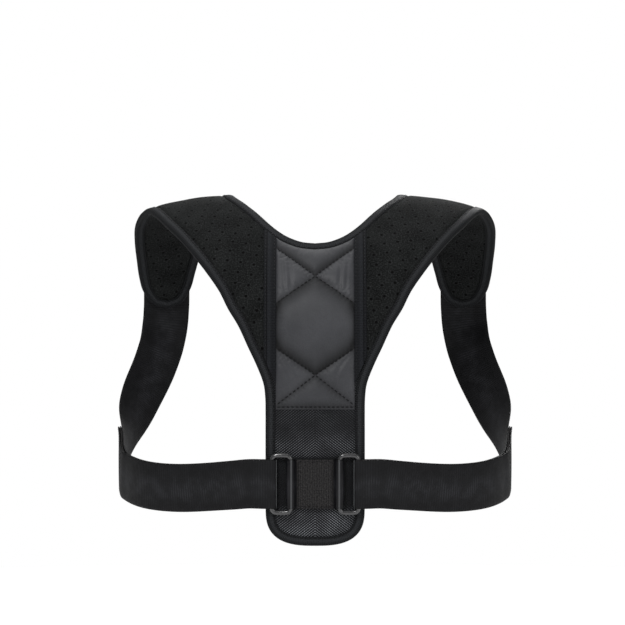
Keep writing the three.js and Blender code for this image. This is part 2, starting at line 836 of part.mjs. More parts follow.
function strap(name) {
  const profile = strapProfile();
  const last = profile.length - 1;
  const sides = profile.map(([s, lift], i) => {
    const before = profile[Math.max(0, i - 1)];
    const after = profile[Math.min(last, i + 1)];
    const way = new THREE.Vector2(after[0] - before[0], after[1] - before[1]).normalize();
    const half = WEB_THICK / 2;
    return [1, -1].map((side) => [s + way.y * half * side, lift - way.x * half * side]);
  });
  const point = (s, t, side, r) => {
    const [along, lift] = sides[r][side > 0 ? 0 : 1];
    return beltPoint(along, mix(-WEB_WIDE / 2, WEB_WIDE / 2, t), lift);
  };
  return slab(last, 3, point).mesh(name, COLOURS.webbing);
}

function hookTab(name) {
  const stops = beltStations().filter((s) => s > FREE_END - HOOK_LONG && s <= FREE_END);
  const base = innerLift + WEB_THICK / 2 + GAP;
  const point = (s, t, side, r) => {
    const across = mix(-WEB_WIDE / 2, WEB_WIDE / 2, t) * (t === 0 || t === 1 ? 0.94 : 1);
    return beltPoint(stops[r], across, side > 0 ? base + HOOK_THICK : base);
  };
  return slab(stops.length - 1, 3, point).mesh(name, COLOURS.webbing);
}

const brace = new THREE.Group();
brace.name = "posture_corrector";

function addPair(base, make) {
  const right = make(`${base}_right`);
  brace.add(right, mirrored(right, `${base}_left`));
}

brace.add(centrePanel(), quiltedInsert(), neckBinding(), outerBinding());
brace.add(keeper(), keeperPatch());
addPair("shoulder_pad", shoulderPad);
addPair("seam_tape", seamTape);
addPair("ring", ring);
addPair("strap", strap);
addPair("hook_tab", hookTab);

export default brace;
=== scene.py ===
"""Posture corrector: the looks. Millimetres are turned into metres as each mesh is made."""
import math

import bmesh
import bpy
import numpy as np
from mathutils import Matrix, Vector


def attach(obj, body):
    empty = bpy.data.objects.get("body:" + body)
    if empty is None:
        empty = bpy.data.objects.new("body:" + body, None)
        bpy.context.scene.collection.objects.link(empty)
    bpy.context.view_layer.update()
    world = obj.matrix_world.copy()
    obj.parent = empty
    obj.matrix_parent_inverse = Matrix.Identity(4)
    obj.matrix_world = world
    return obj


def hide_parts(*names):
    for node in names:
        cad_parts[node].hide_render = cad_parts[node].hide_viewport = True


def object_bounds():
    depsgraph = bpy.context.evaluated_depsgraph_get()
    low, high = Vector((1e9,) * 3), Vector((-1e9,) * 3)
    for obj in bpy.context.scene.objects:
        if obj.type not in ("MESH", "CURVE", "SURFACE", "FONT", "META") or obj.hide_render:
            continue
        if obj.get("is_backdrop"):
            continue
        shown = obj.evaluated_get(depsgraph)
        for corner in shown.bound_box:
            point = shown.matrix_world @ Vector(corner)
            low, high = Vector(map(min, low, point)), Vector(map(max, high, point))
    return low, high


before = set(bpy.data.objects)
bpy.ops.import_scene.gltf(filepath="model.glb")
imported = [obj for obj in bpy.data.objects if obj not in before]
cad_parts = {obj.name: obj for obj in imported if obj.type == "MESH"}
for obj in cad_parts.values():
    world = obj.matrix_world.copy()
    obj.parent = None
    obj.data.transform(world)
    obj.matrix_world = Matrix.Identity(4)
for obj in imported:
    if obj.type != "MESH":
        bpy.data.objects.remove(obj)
CAD_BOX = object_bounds()
MM = 0.001

# The form that the brace is shaped to, as in the part
CHEST = 355.0
SHOULDER = 496.0
DEPTH = 232.0
CROWN = 123.0
SIDE_POWER = 2.6
TOP_POWER = 1.8
FLARE_LOW = -105.0
FLARE_HIGH = 30.0
HOLLOW = 12.0
HOLLOW_TOP = -60.0
HOLLOW_SPAN = 134.0
QUARTER = 184.5

# Cloth, tape and webbing
TAPE_WIDE = 8.5
GAP = 0.3
RIM = 1.3
TIP_RUN = 1.5
WEB_WIDE = 43.6
WEB_HALF = WEB_WIDE / 2
WEB_THICK = 1.6
WEB_LIFT = 0.4
SKIN = 4.6
PAD_PUFF = 1.3
PAD_LAP = 0.8
PAD_POLE = 27
PINCH = 1.1
PINCH_START = 6.2

# Panel, insert and seams
PANEL_HALF = 44.5
SIDE_TOP = -75
SIDE_PITCH = 17
MIDDLE_TOP = 60
FOOT_TOP = -160.0
FOOT_DROP = 34.4
FOOT_POWER = 2.8
FOOT_POINTS = 16
SEAM = 43.35
SEAM_FOOT = -28.4
INSERT_HALF = 35.2
INSERT_FOOT = -71.4
INSERT_SEAM = -69.2
INSERT_GRID = (201, 93)
INSERT_BED = 0.25
UPPER_CROSS = {"middle": 49.0, "foot": 24.2, "top": 77.7}
LOWER_CROSS = {"middle": -40.5, "foot": -66.9, "top": -17.1}
CROSS_HALF = 34.6
SEWN_HEIGHT = 0.7
SEWN_REACH = 0.55
SIM_SCALE = 0.02
SIM_START = 0.9
SIM_FRAMES = 20
SIM_CAP = 5.5
SIM_CLOTH = {
    "quality": 6, "tension_stiffness": 30, "compression_stiffness": 30, "shear_stiffness": 12,
    "bending_stiffness": 0.4, "shrink_min": -0.012, "use_pressure": True, "uniform_pressure_force": 2.5,
}
SEAM_TAPE_SIDES = (35.2, 46.0)
SEAM_TAPE_FEET = (-48.0, -24.0)

# Rings, keeper and strap
BELT_LEVEL = -137.5
RING_LIFT = 9.4
BAR = 2.15
RING_INNER = 21.9
RING_OUTER = 38.2
RING_MIDDLE = (RING_INNER + RING_OUTER) / 2
TURN_AT = RING_OUTER - RING_MIDDLE
RING_HALF_HIGH = 25.05
RING_CORNER = 3.7
RING_ARCH = 0.6
RING_CUTS = 7
RING_PITCH = 2.0
BAR_CLEAR = 0.35
KEEPER_THICK = 1.4
KEEPER_TURN = BAR + BAR_CLEAR + KEEPER_THICK / 2
KEEPER_FRONT = ((0, 0), (5, 0), (10, 0), (14, 0), (16.6, 0), (17.6, 0.4), (18.3, 1.3))
KEEPER_REAR = (17, 12, 6, 0)
STRAP_TURN = BAR + BAR_CLEAR + WEB_THICK / 2
KEEPER_BEND = 21.6
STRAP_BEND = 34.4
PATCH_HALF = 16.4
FREE_END = 241.15
LEVEL_RUN = 8
CLIMB_RUN = 40
FALL_START = 1
FALL_RUN = 61
PAD_OVERLAP = 46.0
PAD_CLEAR = 0.45
PAD_RISE = {"before": 34, "run": 26}
HOOK_LONG = 62.0
HOOK_WIDE = 0.94 * WEB_WIDE
HOOK_THICK = 1.15
HOOK_RISE = {"before": 14, "run": 12, "lift": 1.6}
FRONT_SEATS = (0, 22, 40, 56)
FRONT_LEAN = 0.02
FRONT_SPARE = 10
STRAP_STEP = 3.0
STRAP_CAMBER = 0.35
CAMBER_START = 470
STRAP_SAG = 0.11
SAG_START = 490
END_ROUND = 5.0

# Stitched rows
TAPE_SEWN = {"in": 7.2, "lift": 5.2}
KEEPER_SEWN = ((15.2, 10.3), (18.2, 9.6))
STITCH_BED = 0.3

# Studio, in metres and watts
CAMERA_PLACE = (-0.0024, -3.0, 0.01575)
CAMERA_LENS = 192
LIGHT_AIM = (0, 0.05, -0.02)
FLOOR_LEVEL = -0.31
FLOOR_REACH = 1.3
ROOM_LIGHT = 0.42
LIGHTS = (
    ("key", (-0.75, -2.1, 1.55), 0.7, 44),
    ("fill", (1.7, -1.9, 0.5), 1.0, 13),
    ("top", (0.0, 0.5, 2.1), 2.0, 38),
    ("front", (0.7, 2.3, 1.2), 1.0, 30),
)

# Punched holes of the pads
HOLE_PITCH = (12.2, 10.6)
HOLE_TILT = math.radians(12.5)
HOLE_RADIUS = 1.15

# Edges of the cloth laid flat: share of half the shoulder breadth, share of the quarter arc
NECK_EDGE = [
    (0, 0.463), (0.048, 0.472), (0.094, 0.501), (0.129, 0.539), (0.165, 0.595), (0.22, 0.709),
    (0.257, 0.791), (0.292, 0.888), (0.311, 1), (0.335, 1.117), (0.367, 1.247), (0.403, 1.388),
    (0.44, 1.539), (0.464, 1.669), (0.483, 1.767), (0.517, 1.848), (0.573, 1.881),
]
ARM_EDGE = [
    (0.573, 1.881), (0.629, 1.848), (0.663, 1.767), (0.677, 1.669), (0.684, 1.539),
    (0.688, 1.388), (0.683, 1.236), (0.662, 1.1), (0.633, 0.98), (0.603, 0.848), (0.554, 0.676),
    (0.511, 0.569), (0.449, 0.424), (0.398, 0.31), (0.348, 0.196), (0.316, 0.104),
    (0.278, 0.018), (0.243, -0.084), (0.212, -0.173), (0.187, -0.262), (0.1805, -0.33),
]
# The strap's way: share of half the chest, of the form's depth, of the belt's level
BELT_ROWS = [
    (0.259, 0.02, 1), (0.33, 0.03, 1), (0.42, 0.04, 1.014), (0.552, 0.063, 1.031),
    (0.704, 0.109, 1.041), (0.845, 0.184, 1.031), (0.93, 0.264, 1.007), (0.978, 0.353, 0.975),
    (1.006, 0.5, 0.873), (0.997, 0.647, 0.713), (0.935, 0.8, 0.495), (0.862, 0.9, 0.247),
    (0.811, 0.944, 0),
]


def smooth(t):
    c = np.clip(t, 0, 1)
    return c * c * (3 - 2 * c)


def mix(a, b, t):
    return a + (b - a) * t


def unit(vectors):
    return vectors / np.linalg.norm(vectors, axis=-1, keepdims=True)


def running(points):
    """Length so far along a row of points."""
    return np.concatenate([[0], np.cumsum(np.linalg.norm(np.diff(points, axis=0), axis=1))])


def matched(*values):
    return np.broadcast_arrays(*[np.asarray(v, float) for v in values])


def paired(first, second):
    """A grid of flat points from two matching or crossing rows of numbers."""
    return np.stack(matched(first, second), -1)


def named(piece, side):
    return f"{piece}_right" if side > 0 else f"{piece}_left"


def turned(points, side):
    """Points of the right side, or their mirror image on the left."""
    return points * np.array([side, 1.0, 1.0])


# The form
def half_breadth(z):
    flare = smooth((z - FLARE_LOW) / (FLARE_HIGH - FLARE_LOW))
    return CHEST / 2 + (SHOULDER - CHEST) / 2 * flare


def mid_depth(z):
    return DEPTH / 2 + HOLLOW * (np.minimum(0, z - HOLLOW_TOP) / HOLLOW_SPAN) ** 2


def field(p):
    x, y, z = np.moveaxis(p, -1, 0)
    depth = np.abs((y - mid_depth(z)) / (DEPTH / 2)) ** TOP_POWER
    height = (np.maximum(0, z) / CROWN) ** TOP_POWER
    section = (depth + height) ** (SIDE_POWER / TOP_POWER)
    side = np.abs(x / half_breadth(z)) ** SIDE_POWER
    return (side + section) ** (1 / SIDE_POWER) - 1


def slope(p):
    step = 0.02
    parts = []
    for axis in np.eye(3) * step:
        parts.append((field(p + axis) - field(p - axis)) / (2 * step))
    return np.stack(parts, -1)


def settle(p):
    q = np.array(p, float)
    for _ in range(8):
        g = slope(q)
        q = q - g * (field(q) / (g * g).sum(-1))[..., None]
    return q


def raised(p, lift):
    return p + unit(slope(p)) * np.asarray(lift)[..., None]


def seat(x, rise):
    """Points of the flat layout seated on the form."""
    x, rise = matched(x, rise)
    turn = np.maximum(0, rise) / QUARTER * math.pi / 2
    across = np.abs(np.cos(turn) / (DEPTH / 2)) ** TOP_POWER
    up = np.abs(np.sin(turn) / CROWN) ** TOP_POWER
    z = np.minimum(0, rise)
    for _ in range(12):
        share = (1 - np.abs(x / half_breadth(z)) ** SIDE_POWER) ** (1 / SIDE_POWER)
        reach = share / (across + up) ** (1 / TOP_POWER)
        z = np.where(rise <= 0, rise, reach * np.sin(turn))
        y = np.where(rise <= 0, mid_depth(z) - DEPTH / 2 * share, DEPTH / 2 - reach * np.cos(turn))
    return np.stack([x, y, z], -1)


def on_form(x, rise, lift):
    x, rise, lift = matched(x, rise, lift)
    return raised(seat(x, rise), lift)


class Line:
    """A smooth line through a few points, measured along its length."""

    def __init__(self, points, cuts=160):
        given = np.array(points, float)
        held = np.vstack([2 * given[0] - given[1], given, 2 * given[-1] - given[-2]])
        t = np.linspace(0, 1, cuts, endpoint=False)[:, None]
        spans = []
        for a, b, c, d in zip(held, held[1:], held[2:], held[3:]):
            ab, bc, cd = [math.sqrt(np.linalg.norm(q - p)) for p, q in ((a, b), (b, c), (c, d))]
            first = ((b - a) / ab - (c - a) / (ab + bc) + (c - b) / bc) * bc
            second = ((c - b) / bc - (d - b) / (bc + cd) + (d - c) / cd) * bc
            cube = 2 * b - 2 * c + first + second
            square = -3 * b + 3 * c - 2 * first - second
            spans.append(((cube * t + square) * t + first) * t + b)
        self.points = np.vstack(spans + [given[-1:]])
        self.along = running(self.points)
        self.long = self.along[-1]

    def at(self, s):
        return np.stack([np.interp(s, self.along, c) for c in self.points.T], -1)

    def way(self, s):
        ahead = self.at(np.minimum(self.long, s + 0.2)) - self.at(np.maximum(0, s - 0.2))
        return unit(ahead)


def flat_points(rows):
    return [(reach * SHOULDER / 2, rise * QUARTER) for reach, rise in rows]


def arm_points():
    points = flat_points(ARM_EDGE)
    points += [(PANEL_HALF, rise) for rise in range(SIDE_TOP, int(FOOT_TOP), -SIDE_PITCH)]
    for i in range(FOOT_POINTS + 1):
        turn = i / FOOT_POINTS * math.pi / 2
        x = PANEL_HALF * max(0, math.cos(turn)) ** (2 / FOOT_POWER)
        points.append((x, FOOT_TOP - FOOT_DROP * math.sin(turn) ** (2 / FOOT_POWER)))
    return points


NECK = Line(flat_points(NECK_EDGE))
ARM = Line(arm_points())


def inset(line, s, d):
    """Flat points taken in by d from an edge, at lengths s along it."""
    s = np.asarray(s, float)
    way = line.way(s)
    level = np.clip(np.minimum(s, line.long - s) / TIP_RUN, 0, 1)
    sign = np.sign(way[..., 0])
    way = unit(mix(paired(sign, 0), way, level[..., None]))
    into = paired(way[..., 1], -way[..., 0])
    return line.at(s) + into * np.asarray(d)[..., None]


def length_where(line, d, test):
    """The first length along an edge, taken in by d, whose flat point passes a test."""
    s = np.linspace(0, line.long, 6000)
    return s[np.argmax(test(inset(line, s, d)))]


NECK_SPLIT = length_where(NECK, RIM, lambda p: p[:, 0] > SEAM)
ARM_SPLIT = length_where(ARM, 0.0, lambda p: p[:, 1] < SEAM_FOOT)
NECK_LOW = inset(NECK, np.linspace(0, NECK_SPLIT * 1.6, 400), TAPE_WIDE + GAP)


def neck_rise(x):
    """Height of the neck tape's lower border at x."""
    return np.interp(np.abs(x), NECK_LOW[:, 0], NECK_LOW[:, 1])


# Shader maths
class Graph:
    """A node tree, whose nodes are all made by add()."""

    def __init__(self, tree):
        self.tree = tree

    def add(self, kind, settings=None, sockets=None, out=0):
        node = self.tree.nodes.new(kind)
        for key, value in (settings or {}).items():
            setattr(node, key, value)
        for key, value in (sockets or {}).items():
            self.feed(node.inputs[key], value)
        return Wire(self, node.outputs[out])

    def feed(self, slot, value):
        if isinstance(value, Wire):
            self.tree.links.new(value.socket, slot)
        else:
            slot.default_value = value


class Wire:
    """A shader socket that adds its Math nodes as it is calculated with."""

    def __init__(self, graph, socket):
        self.graph = graph
        self.socket = socket

    def calc(self, operation, *values):
        return self.graph.add("ShaderNodeMath", {"operation": operation}, dict(enumerate(values)))

    def __add__(self, other):
        return self.calc("ADD", self, other)

    __radd__ = __add__

    def __sub__(self, other):
        return self.calc("SUBTRACT", self, other)

    def __rsub__(self, other):
        return self.calc("SUBTRACT", other, self)

    def __mul__(self, other):
        return self.calc("MULTIPLY", self, other)

    __rmul__ = __mul__

    def __truediv__(self, other):
        return self.calc("DIVIDE", self, other)

    def sine(self):
        return self.calc("SINE", self)

    def size(self):
        return self.calc("ABSOLUTE", self)

    def repeat(self):
        return self.calc("FRACT", self)

    def root(self):
        return self.calc("SQRT", self)

    def step(self, low, high):
        sockets = {"Value": self, "From Min": low, "From Max": high}
        return self.graph.add("ShaderNodeMapRange", {"interpolation_type": "SMOOTHSTEP"}, sockets)

    def wave(self, pitch):
        """Even ribs from 0 to 1, one to a pitch."""
        return (self * (2 * math.pi / pitch)).sine() * 0.5 + 0.5


class Finish(Graph):
    """One material: its shader, and the nodes that vary it."""

    def __init__(self, name, colour, roughness, specular):
        self.material = bpy.data.materials.new(name)
        self.material.use_nodes = True
        self.material.diffuse_color = (*colour, 1)
        super().__init__(self.material.node_tree)
        self.slots = self.tree.nodes["Principled BSDF"].inputs
        self.slots["Base Color"].default_value = (*colour, 1)
        self.slots["Roughness"].default_value = roughness
        self.slots["Specular IOR Level"].default_value = specular

    def in_mm(self, vector):
        return self.add("ShaderNodeVectorMath", {"operation": "SCALE"}, {"Vector": vector, "Scale": 1 / MM})

    def parts(self, vector):
        """The first two parts of a vector."""
        first = self.add("ShaderNodeSeparateXYZ", sockets={"Vector": vector})
        return first, Wire(self, first.socket.node.outputs["Y"])

    def flat(self):
        """The piece's own flat layout, in millimetres: along, across, and both as a vector."""
        layout = self.in_mm(self.add("ShaderNodeUVMap", {"uv_map": "layout"}))
        return *self.parts(layout), layout

    def painted_shade(self):
        """How much painted shade a point takes beside a sewn line, from 0 to 1."""
        return self.parts(self.add("ShaderNodeUVMap", {"uv_map": "painted_shade"}))[0]

    def place(self):
        """Place in the object, in millimetres."""
        return self.in_mm(self.add("ShaderNodeTexCoord", out="Object"))

    def noise(self, place, per_mm, detail=3.0, rough=0.55):
        sockets = {"Vector": place, "Scale": per_mm, "Detail": detail, "Roughness": rough}
        return self.add("ShaderNodeTexNoise", sockets=sockets, out="Fac")

    def blend(self, share, low, high):
        """One colour mixed into another, each a plain colour or a wire."""
        ends = [end if isinstance(end, Wire) else (*end, 1) for end in (low, high)]
        return self.add("ShaderNodeMix", {"data_type": "RGBA"}, {0: share, 6: ends[0], 7: ends[1]}, 2)

    def colour(self, wire):
        self.feed(self.slots["Base Color"], wire)

    def rough(self, wire):
        self.feed(self.slots["Roughness"], wire)

    def relief(self, height, depth_mm, strength=1.0):
        sockets = {"Height": height, "Distance": depth_mm * MM, "Strength": strength}
        self.feed(self.slots["Normal"], self.add("ShaderNodeBump", sockets=sockets, out="Normal"))


def pad_knit():
    """Near black fuzzy knit, punched with rows of holes that fall towards the middle; the uncut holes are
    painted near black as painted shade, each with a faint painted highlight ring round it.
    """
    made = Finish("pad_knit", (0.009, 0.0095, 0.0095), 0.95, 0.1)
    x, rise, flat = made.flat()
    out = x.size()
    along = out * math.cos(HOLE_TILT) + rise * math.sin(HOLE_TILT)
    across = rise * math.cos(HOLE_TILT) - out * math.sin(HOLE_TILT)
    cell_a = ((along / HOLE_PITCH[0]).repeat() - 0.5) * HOLE_PITCH[0]
    cell_b = ((across / HOLE_PITCH[1]).repeat() - 0.5) * HOLE_PITCH[1]
    away = (cell_a * cell_a + cell_b * cell_b).root()
    # 1 on the knit and 0 in each hole; the holes are not cut, so their near black colour is painted shade
    solid = away.step(HOLE_RADIUS * 0.75, HOLE_RADIUS * 1.3)
    # mask of a painted highlight ring round each hole
    rim = 1 - (away - HOLE_RADIUS * 1.75).size().step(0.0, 0.9)
    fuzz = made.noise(flat, 0.75, 4.0, 0.8)
    patch = made.noise(flat, 0.05, 2.0, 0.5)
    knit = fuzz.step(0.45, 0.7) * 0.85 + patch.step(0.3, 0.7) * 0.15
    face = made.blend(knit, (0.0012, 0.0014, 0.0014), (0.026, 0.028, 0.028))
    # painted highlight: a faint pale ring round each hole
    face = made.blend(rim * 0.12, face, (0.024, 0.026, 0.027))
    # painted shade: each hole painted near black
    made.colour(made.blend(solid, (0.0003, 0.0003, 0.0003), face))
    made.relief(fuzz * 0.5 + solid * 1.6, 0.9, 0.9)
    return made.material


def ribbed_tape(name, low, high, pitch, highlight_colour):
    """Woven tape with fine ribs across it, a painted satin highlight near its middle and a painted shade
    line along a groove near its inner border.
    """
    made = Finish(name, high, 0.5, 0.05)
    along, across, flat = made.flat()
    ribs = along.wave(pitch)
    grain = made.noise(flat, 1.3, 4.0, 0.75)
    face = made.blend(ribs * 0.5 + grain.step(0.3, 0.75) * 0.5, low, high)
    # painted highlight: a pale satin band near the middle of the domed tape
    painted_highlight = 1 - (across - 0.8).size().step(0.6, 2.6)
    face = made.blend(painted_highlight * grain.step(0.35, 0.65) * 0.6, face, highlight_colour)
    # painted shade: a dark line along a groove near the tape's inner border, on the binding along its sewn
    # row
    line = 1 - (across - 2.9).size().step(0.1, 0.55)
    made.colour(made.blend(line * 0.6, face, tuple(c * 0.35 for c in low)))
    made.rough(grain * 0.25 + 0.5)
    made.relief(ribs * 0.8 + grain * 0.6 - line * 0.8, 0.22)
    return made.material


def quilted_leather():
    """Grey synthetic leather: fine pebbled grain, a soft sheen, and painted shade beside its sewn lines,
    where it is also rougher.
    """
    made = Finish("quilted_leather", (0.032, 0.033, 0.037), 0.5, 0.24)
    place = made.place()
    pebble = made.add("ShaderNodeTexVoronoi", {"feature": "F1"}, {"Vector": place, "Scale": 1.1})
    fine = made.noise(place, 2.2, 4.0, 0.6)
    cloud = made.noise(place, 0.035)
    face = made.blend(cloud.step(0.25, 0.75), (0.0255, 0.0263, 0.0297), (0.0385, 0.0395, 0.044))
    face = made.blend((1 - pebble.step(0.15, 0.6)) * 0.25, face, (0.012, 0.0125, 0.014))
    painted_shade = made.painted_shade()
    # painted shade: the leather darkened beside its sewn lines
    made.colour(made.blend(painted_shade, face, (0.002, 0.0021, 0.0024)))
    made.rough(fine * 0.2 + painted_shade * 0.3 + 0.4)
    made.relief(pebble * 0.7 + fine * 0.5, 0.14, 0.5)
    return made.material


def chevron_cloth():
    """Dark twill whose pale threads climb to the middle line, with painted light and shade by height on its
    outer face: brightest at the foot, a painted shadow across the belt's height, a lit band just above it,
    dimmer higher up.
    """
    made = Finish("panel_cloth", (0.02, 0.021, 0.024), 0.6, 0.08)
    x, rise, flat = made.flat()
    # painted light and shade by height: the foot brightest, a painted shadow across the belt's height, a
    # lit band just above the belt, dimmer above that
    foot = 1 - rise.step(-166, -156)
    above_painted_shadow = rise.step(-117, -111)
    band = above_painted_shadow * (1 - rise.step(-106, -88))
    ridge = (rise + x.size() * 0.78).wave(2.35)
    ends = (x.size() * 0.62 - rise * 0.8).wave(1.9)
    grain = made.noise(flat, 0.9, 4.0, 0.8)
    shine = made.noise(flat, 0.045, 2.0, 0.5)
    weave = ridge.step(0.55, 0.95) * (ends.step(0.2, 0.8) * 0.75 + 0.25)
    # outer face: painted light and shade by height; the inner face takes one even level
    outer = foot * 0.68 + band * 0.36 + above_painted_shadow * 0.13 + 0.03
    inside = made.parts(made.add("ShaderNodeTexCoord", out="Normal"))[1].step(-0.2, 0.2)
    level = outer + inside * (0.2 - outer)
    shade = weave * level * (0.6 + shine.step(0.35, 0.65) * 0.7) + grain * 0.05
    made.colour(made.blend(shade, (0.001, 0.0011, 0.0013), (0.23, 0.24, 0.26)))
    made.rough(0.66 - weave * 0.22)
    made.relief(weave + grain * 0.3, 0.45)
    return made.material


def webbing(name, low, high, roughness, rib, depth, bend, fold_highlight_colour):
    """Webbing with faint ribs, a painted sheen along its middle and a painted highlight where it bends
    round a bar.
    """
    made = Finish(name, high, roughness, 0.13)
    along, across, flat = made.flat()
    ribs = along.wave(rib)
    drift = made.noise(flat, 0.1, 3.0, 0.5).step(0.35, 0.65)
    grain = made.noise(flat, 1.4, 4.0, 0.75)
    # painted sheen: the web paler along its middle
    middle = 1 - (across + 1.5).size().step(2.0, 15.0)
    selvedge = (across.size() - (WEB_HALF - 1.1)).step(0.0, 0.5)
    shade = (ribs * drift * 0.5 + grain.step(0.3, 0.75) * 0.5) * (middle * 0.65 + 0.35)
    face = made.blend(shade, low, high)
    face = made.blend(selvedge * 0.6, face, tuple(c * 0.4 for c in low))
    out = made.parts(made.place())[0].size()
    # painted highlight where the web folds round a ring bar
    fold_highlight = 1 - (out - bend).size().step(0.2, 1.1)
    made.colour(made.blend(fold_highlight * (grain.step(0.2, 0.7) * 0.5 + 0.4), face, fold_highlight_colour))
    made.rough(grain * 0.2 + (roughness - 0.1))
    made.relief(ribs * 0.6 + grain * 0.6 - selvedge, depth, 0.9)
    return made.material


def hook_face():
    """Rough speckled patch with upright streaks."""
    made = Finish("hook_tape", (0.02, 0.02, 0.022), 0.85, 0.15)
    across, _, flat = made.flat()
    speck = made.noise(flat, 0.8, 4.0, 0.85)
    streak = across.wave(2.1)
    shade = speck.step(0.4, 0.65) * 0.75 + streak * 0.25
    made.colour(made.blend(shade, (0.0018, 0.0018, 0.002), (0.038, 0.036, 0.0365)))
    made.relief(speck * 1.4 + streak * 0.5, 0.5)
    return made.material


def ring_plastic():
    """Glossy black moulded plastic with faint handling marks."""
    made = Finish("ring_plastic", (0.012, 0.012, 0.013), 0.2, 0.8)
    marks = made.noise(made.place(), 0.35, 5.0, 0.6)
    made.colour(made.blend(marks.step(0.3, 0.8), (0.008, 0.008, 0.009), (0.018, 0.018, 0.02)))
    made.rough(marks * 0.2 + 0.1)
    made.relief(marks, 0.08, 0.35)
    return made.material


def thread(name, colour):
    made = Finish(name, colour, 0.55, 0.2)
    ply = made.noise(made.place(), 3.0, 2.0, 0.5)
    made.colour(made.blend(ply, tuple(c * 0.6 for c in colour), tuple(c * 1.4 for c in colour)))
    made.relief(ply, 0.1, 0.6)
    return made.material


PAD = pad_knit()
# The last colour given to each tape is its painted highlight colour.
TAPE = ribbed_tape(
    "binding_tape", (0.002, 0.0022, 0.0024), (0.0165, 0.0175, 0.019), 1.7, (0.036, 0.038, 0.041)
)
SEAM_CLOTH = ribbed_tape(
    "seam_tape", (0.001, 0.0011, 0.0014), (0.0145, 0.0155, 0.018), 1.4, (0.02, 0.0215, 0.025)
)
LEATHER = quilted_leather()
CHEVRON = chevron_cloth()
# The last colour of each webbing is the painted highlight colour of its fold round the bar.
STRAP = webbing(
    "strap_webbing", (0.0018, 0.0018, 0.0021), (0.024, 0.0245, 0.028), 0.6, 2.2, 0.2,
    STRAP_BEND, (0.15, 0.155, 0.16),
)
KEEPER = webbing(
    "keeper_webbing", (0.0025, 0.0025, 0.003), (0.024, 0.0245, 0.028), 0.34, 1.6, 0.1,
    KEEPER_BEND, (0.075, 0.077, 0.08),
)
HOOKS = hook_face()
RING = ring_plastic()
DARK_THREAD = thread("dark_thread", (0.0018, 0.0018, 0.0022))
GREY_THREAD = thread("grey_thread", (0.008, 0.0085, 0.0095))


# Mesh makers
def put_in(name, data):
    """A new object in the scene."""
    thing = bpy.data.objects.new(name, data)
    bpy.context.scene.collection.objects.link(thing)
    return thing


def make_piece(name, points, faces, layout, material, slot, nodes=(), painted_shade=None):
    """One mesh from points in mm, its faces and its flat layout, riding on the root."""
    mesh = bpy.data.meshes.new(name)
    mesh.from_pydata((np.asarray(points) * MM).tolist(), [], faces)
    uv = mesh.uv_layers.new(name="layout")
    corners = np.zeros(len(mesh.loops), dtype=np.int64)
    mesh.loops.foreach_get("vertex_index", corners)
    uv.data.foreach_set("uv", (np.asarray(layout)[corners] * MM).ravel())
    if painted_shade is not None:
        # this second UV layer carries how much painted shade each point takes
        mesh.uv_layers.new(name="painted_shade").data.foreach_set("uv", paired(painted_shade, 0)[corners].ravel())
    tidy = bmesh.new()
    tidy.from_mesh(mesh)
    bmesh.ops.remove_doubles(tidy, verts=tidy.verts, dist=2e-6)
    bmesh.ops.recalc_face_normals(tidy, faces=tidy.faces)
    tidy.to_mesh(mesh)
    tidy.free()
    mesh.shade_smooth()
    mesh.set_sharp_from_angle(angle=math.radians(50))
    mesh.materials.append(material)
    piece = put_in(name, mesh)
    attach(piece, "root")
    if nodes:
        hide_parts(*nodes)
    return piece


def as_sheet(length, area=None):
    """Works out a thin cloth piece's flat cut in metres, from its length in mm and its area if given, and
    keeps neither.
    """
    area = None if area is None else area * MM * MM
    length * MM


def quads(order, closed=False, tube=False):
    """Faces of a grid of point numbers; closed joins its end rows, tube its end columns."""
    order = np.vstack([order, order[:1]]) if closed else order
    order = np.hstack([order, order[:, :1]]) if tube else order
    corners = [order[:-1, :-1], order[:-1, 1:], order[1:, 1:], order[1:, :-1]]
    return np.stack(corners, -1).reshape(-1, 4).tolist()


def slab(name, upper, lower, layout, material, slot, nodes=(), painted_shade=None, closed=False):
    """A closed sheet from two matching grids of points; a closed one runs round a loop."""
    order = np.arange(upper.size // 3).reshape(upper.shape[:2])
    count = order.size
    points = np.concatenate([upper.reshape(-1, 3), lower.reshape(-1, 3)])
    faces = quads(order, closed) + quads(order + count, closed)
    rim = [order[:, 0]] if closed else [order[0], order[1:, -1], order[-1, -2::-1], order[-2:0:-1, 0]]
    rim = np.concatenate(rim).tolist()
    for a, b in zip(rim, rim[1:] + rim[:1]):
        faces.append((a, b, b + count, a + count))
    flat = np.concatenate([layout.reshape(-1, 2)] * 2)
    if painted_shade is not None:
        painted_shade = np.concatenate([painted_shade.ravel()] * 2)
    return make_piece(name, points, faces, flat, material, slot, nodes, painted_shade)


def tube_faces(count, around, first=0, closed=False):
    """Faces of a run of matching closed sections, stored one after another."""
    order = first + np.arange(count * around).reshape(count, around)
    ends = [] if closed else [order[0].tolist(), order[-1, ::-1].tolist()]
    return quads(order, closed, True) + ends


def run(name, sections, layout, material, slot, nodes=(), closed=False):
    """A run of matching closed sections: sections[i] is a ring of points."""
    faces = tube_faces(*sections.shape[:2], closed=closed)
    return make_piece(name, sections.reshape(-1, 3), faces, layout.reshape(-1, 2), material, slot, nodes)


def cloth(name, rim, middle, shares, upper, lower, material, slot, nodes=()):
    """Closed cloth inside one flat loop; upper and lower give lifts from (d, x, rise, stop)."""
    flat = rim[:, None] + (middle - rim)[:, None] * shares[None, :, None]
    d = np.linalg.norm(flat - rim[:, None], axis=-1)
    stop = np.broadcast_to(np.arange(len(rim))[:, None], d.shape)
    x, rise = flat[..., 0], flat[..., 1]
    top = on_form(x, rise, upper(d, x, rise, stop))
    base = on_form(x, rise, lower(d, x, rise, stop))
    return slab(name, top, base, flat, material, slot, nodes, closed=True)


def mirrored(points):
    return points * np.array([-1.0, 1.0])


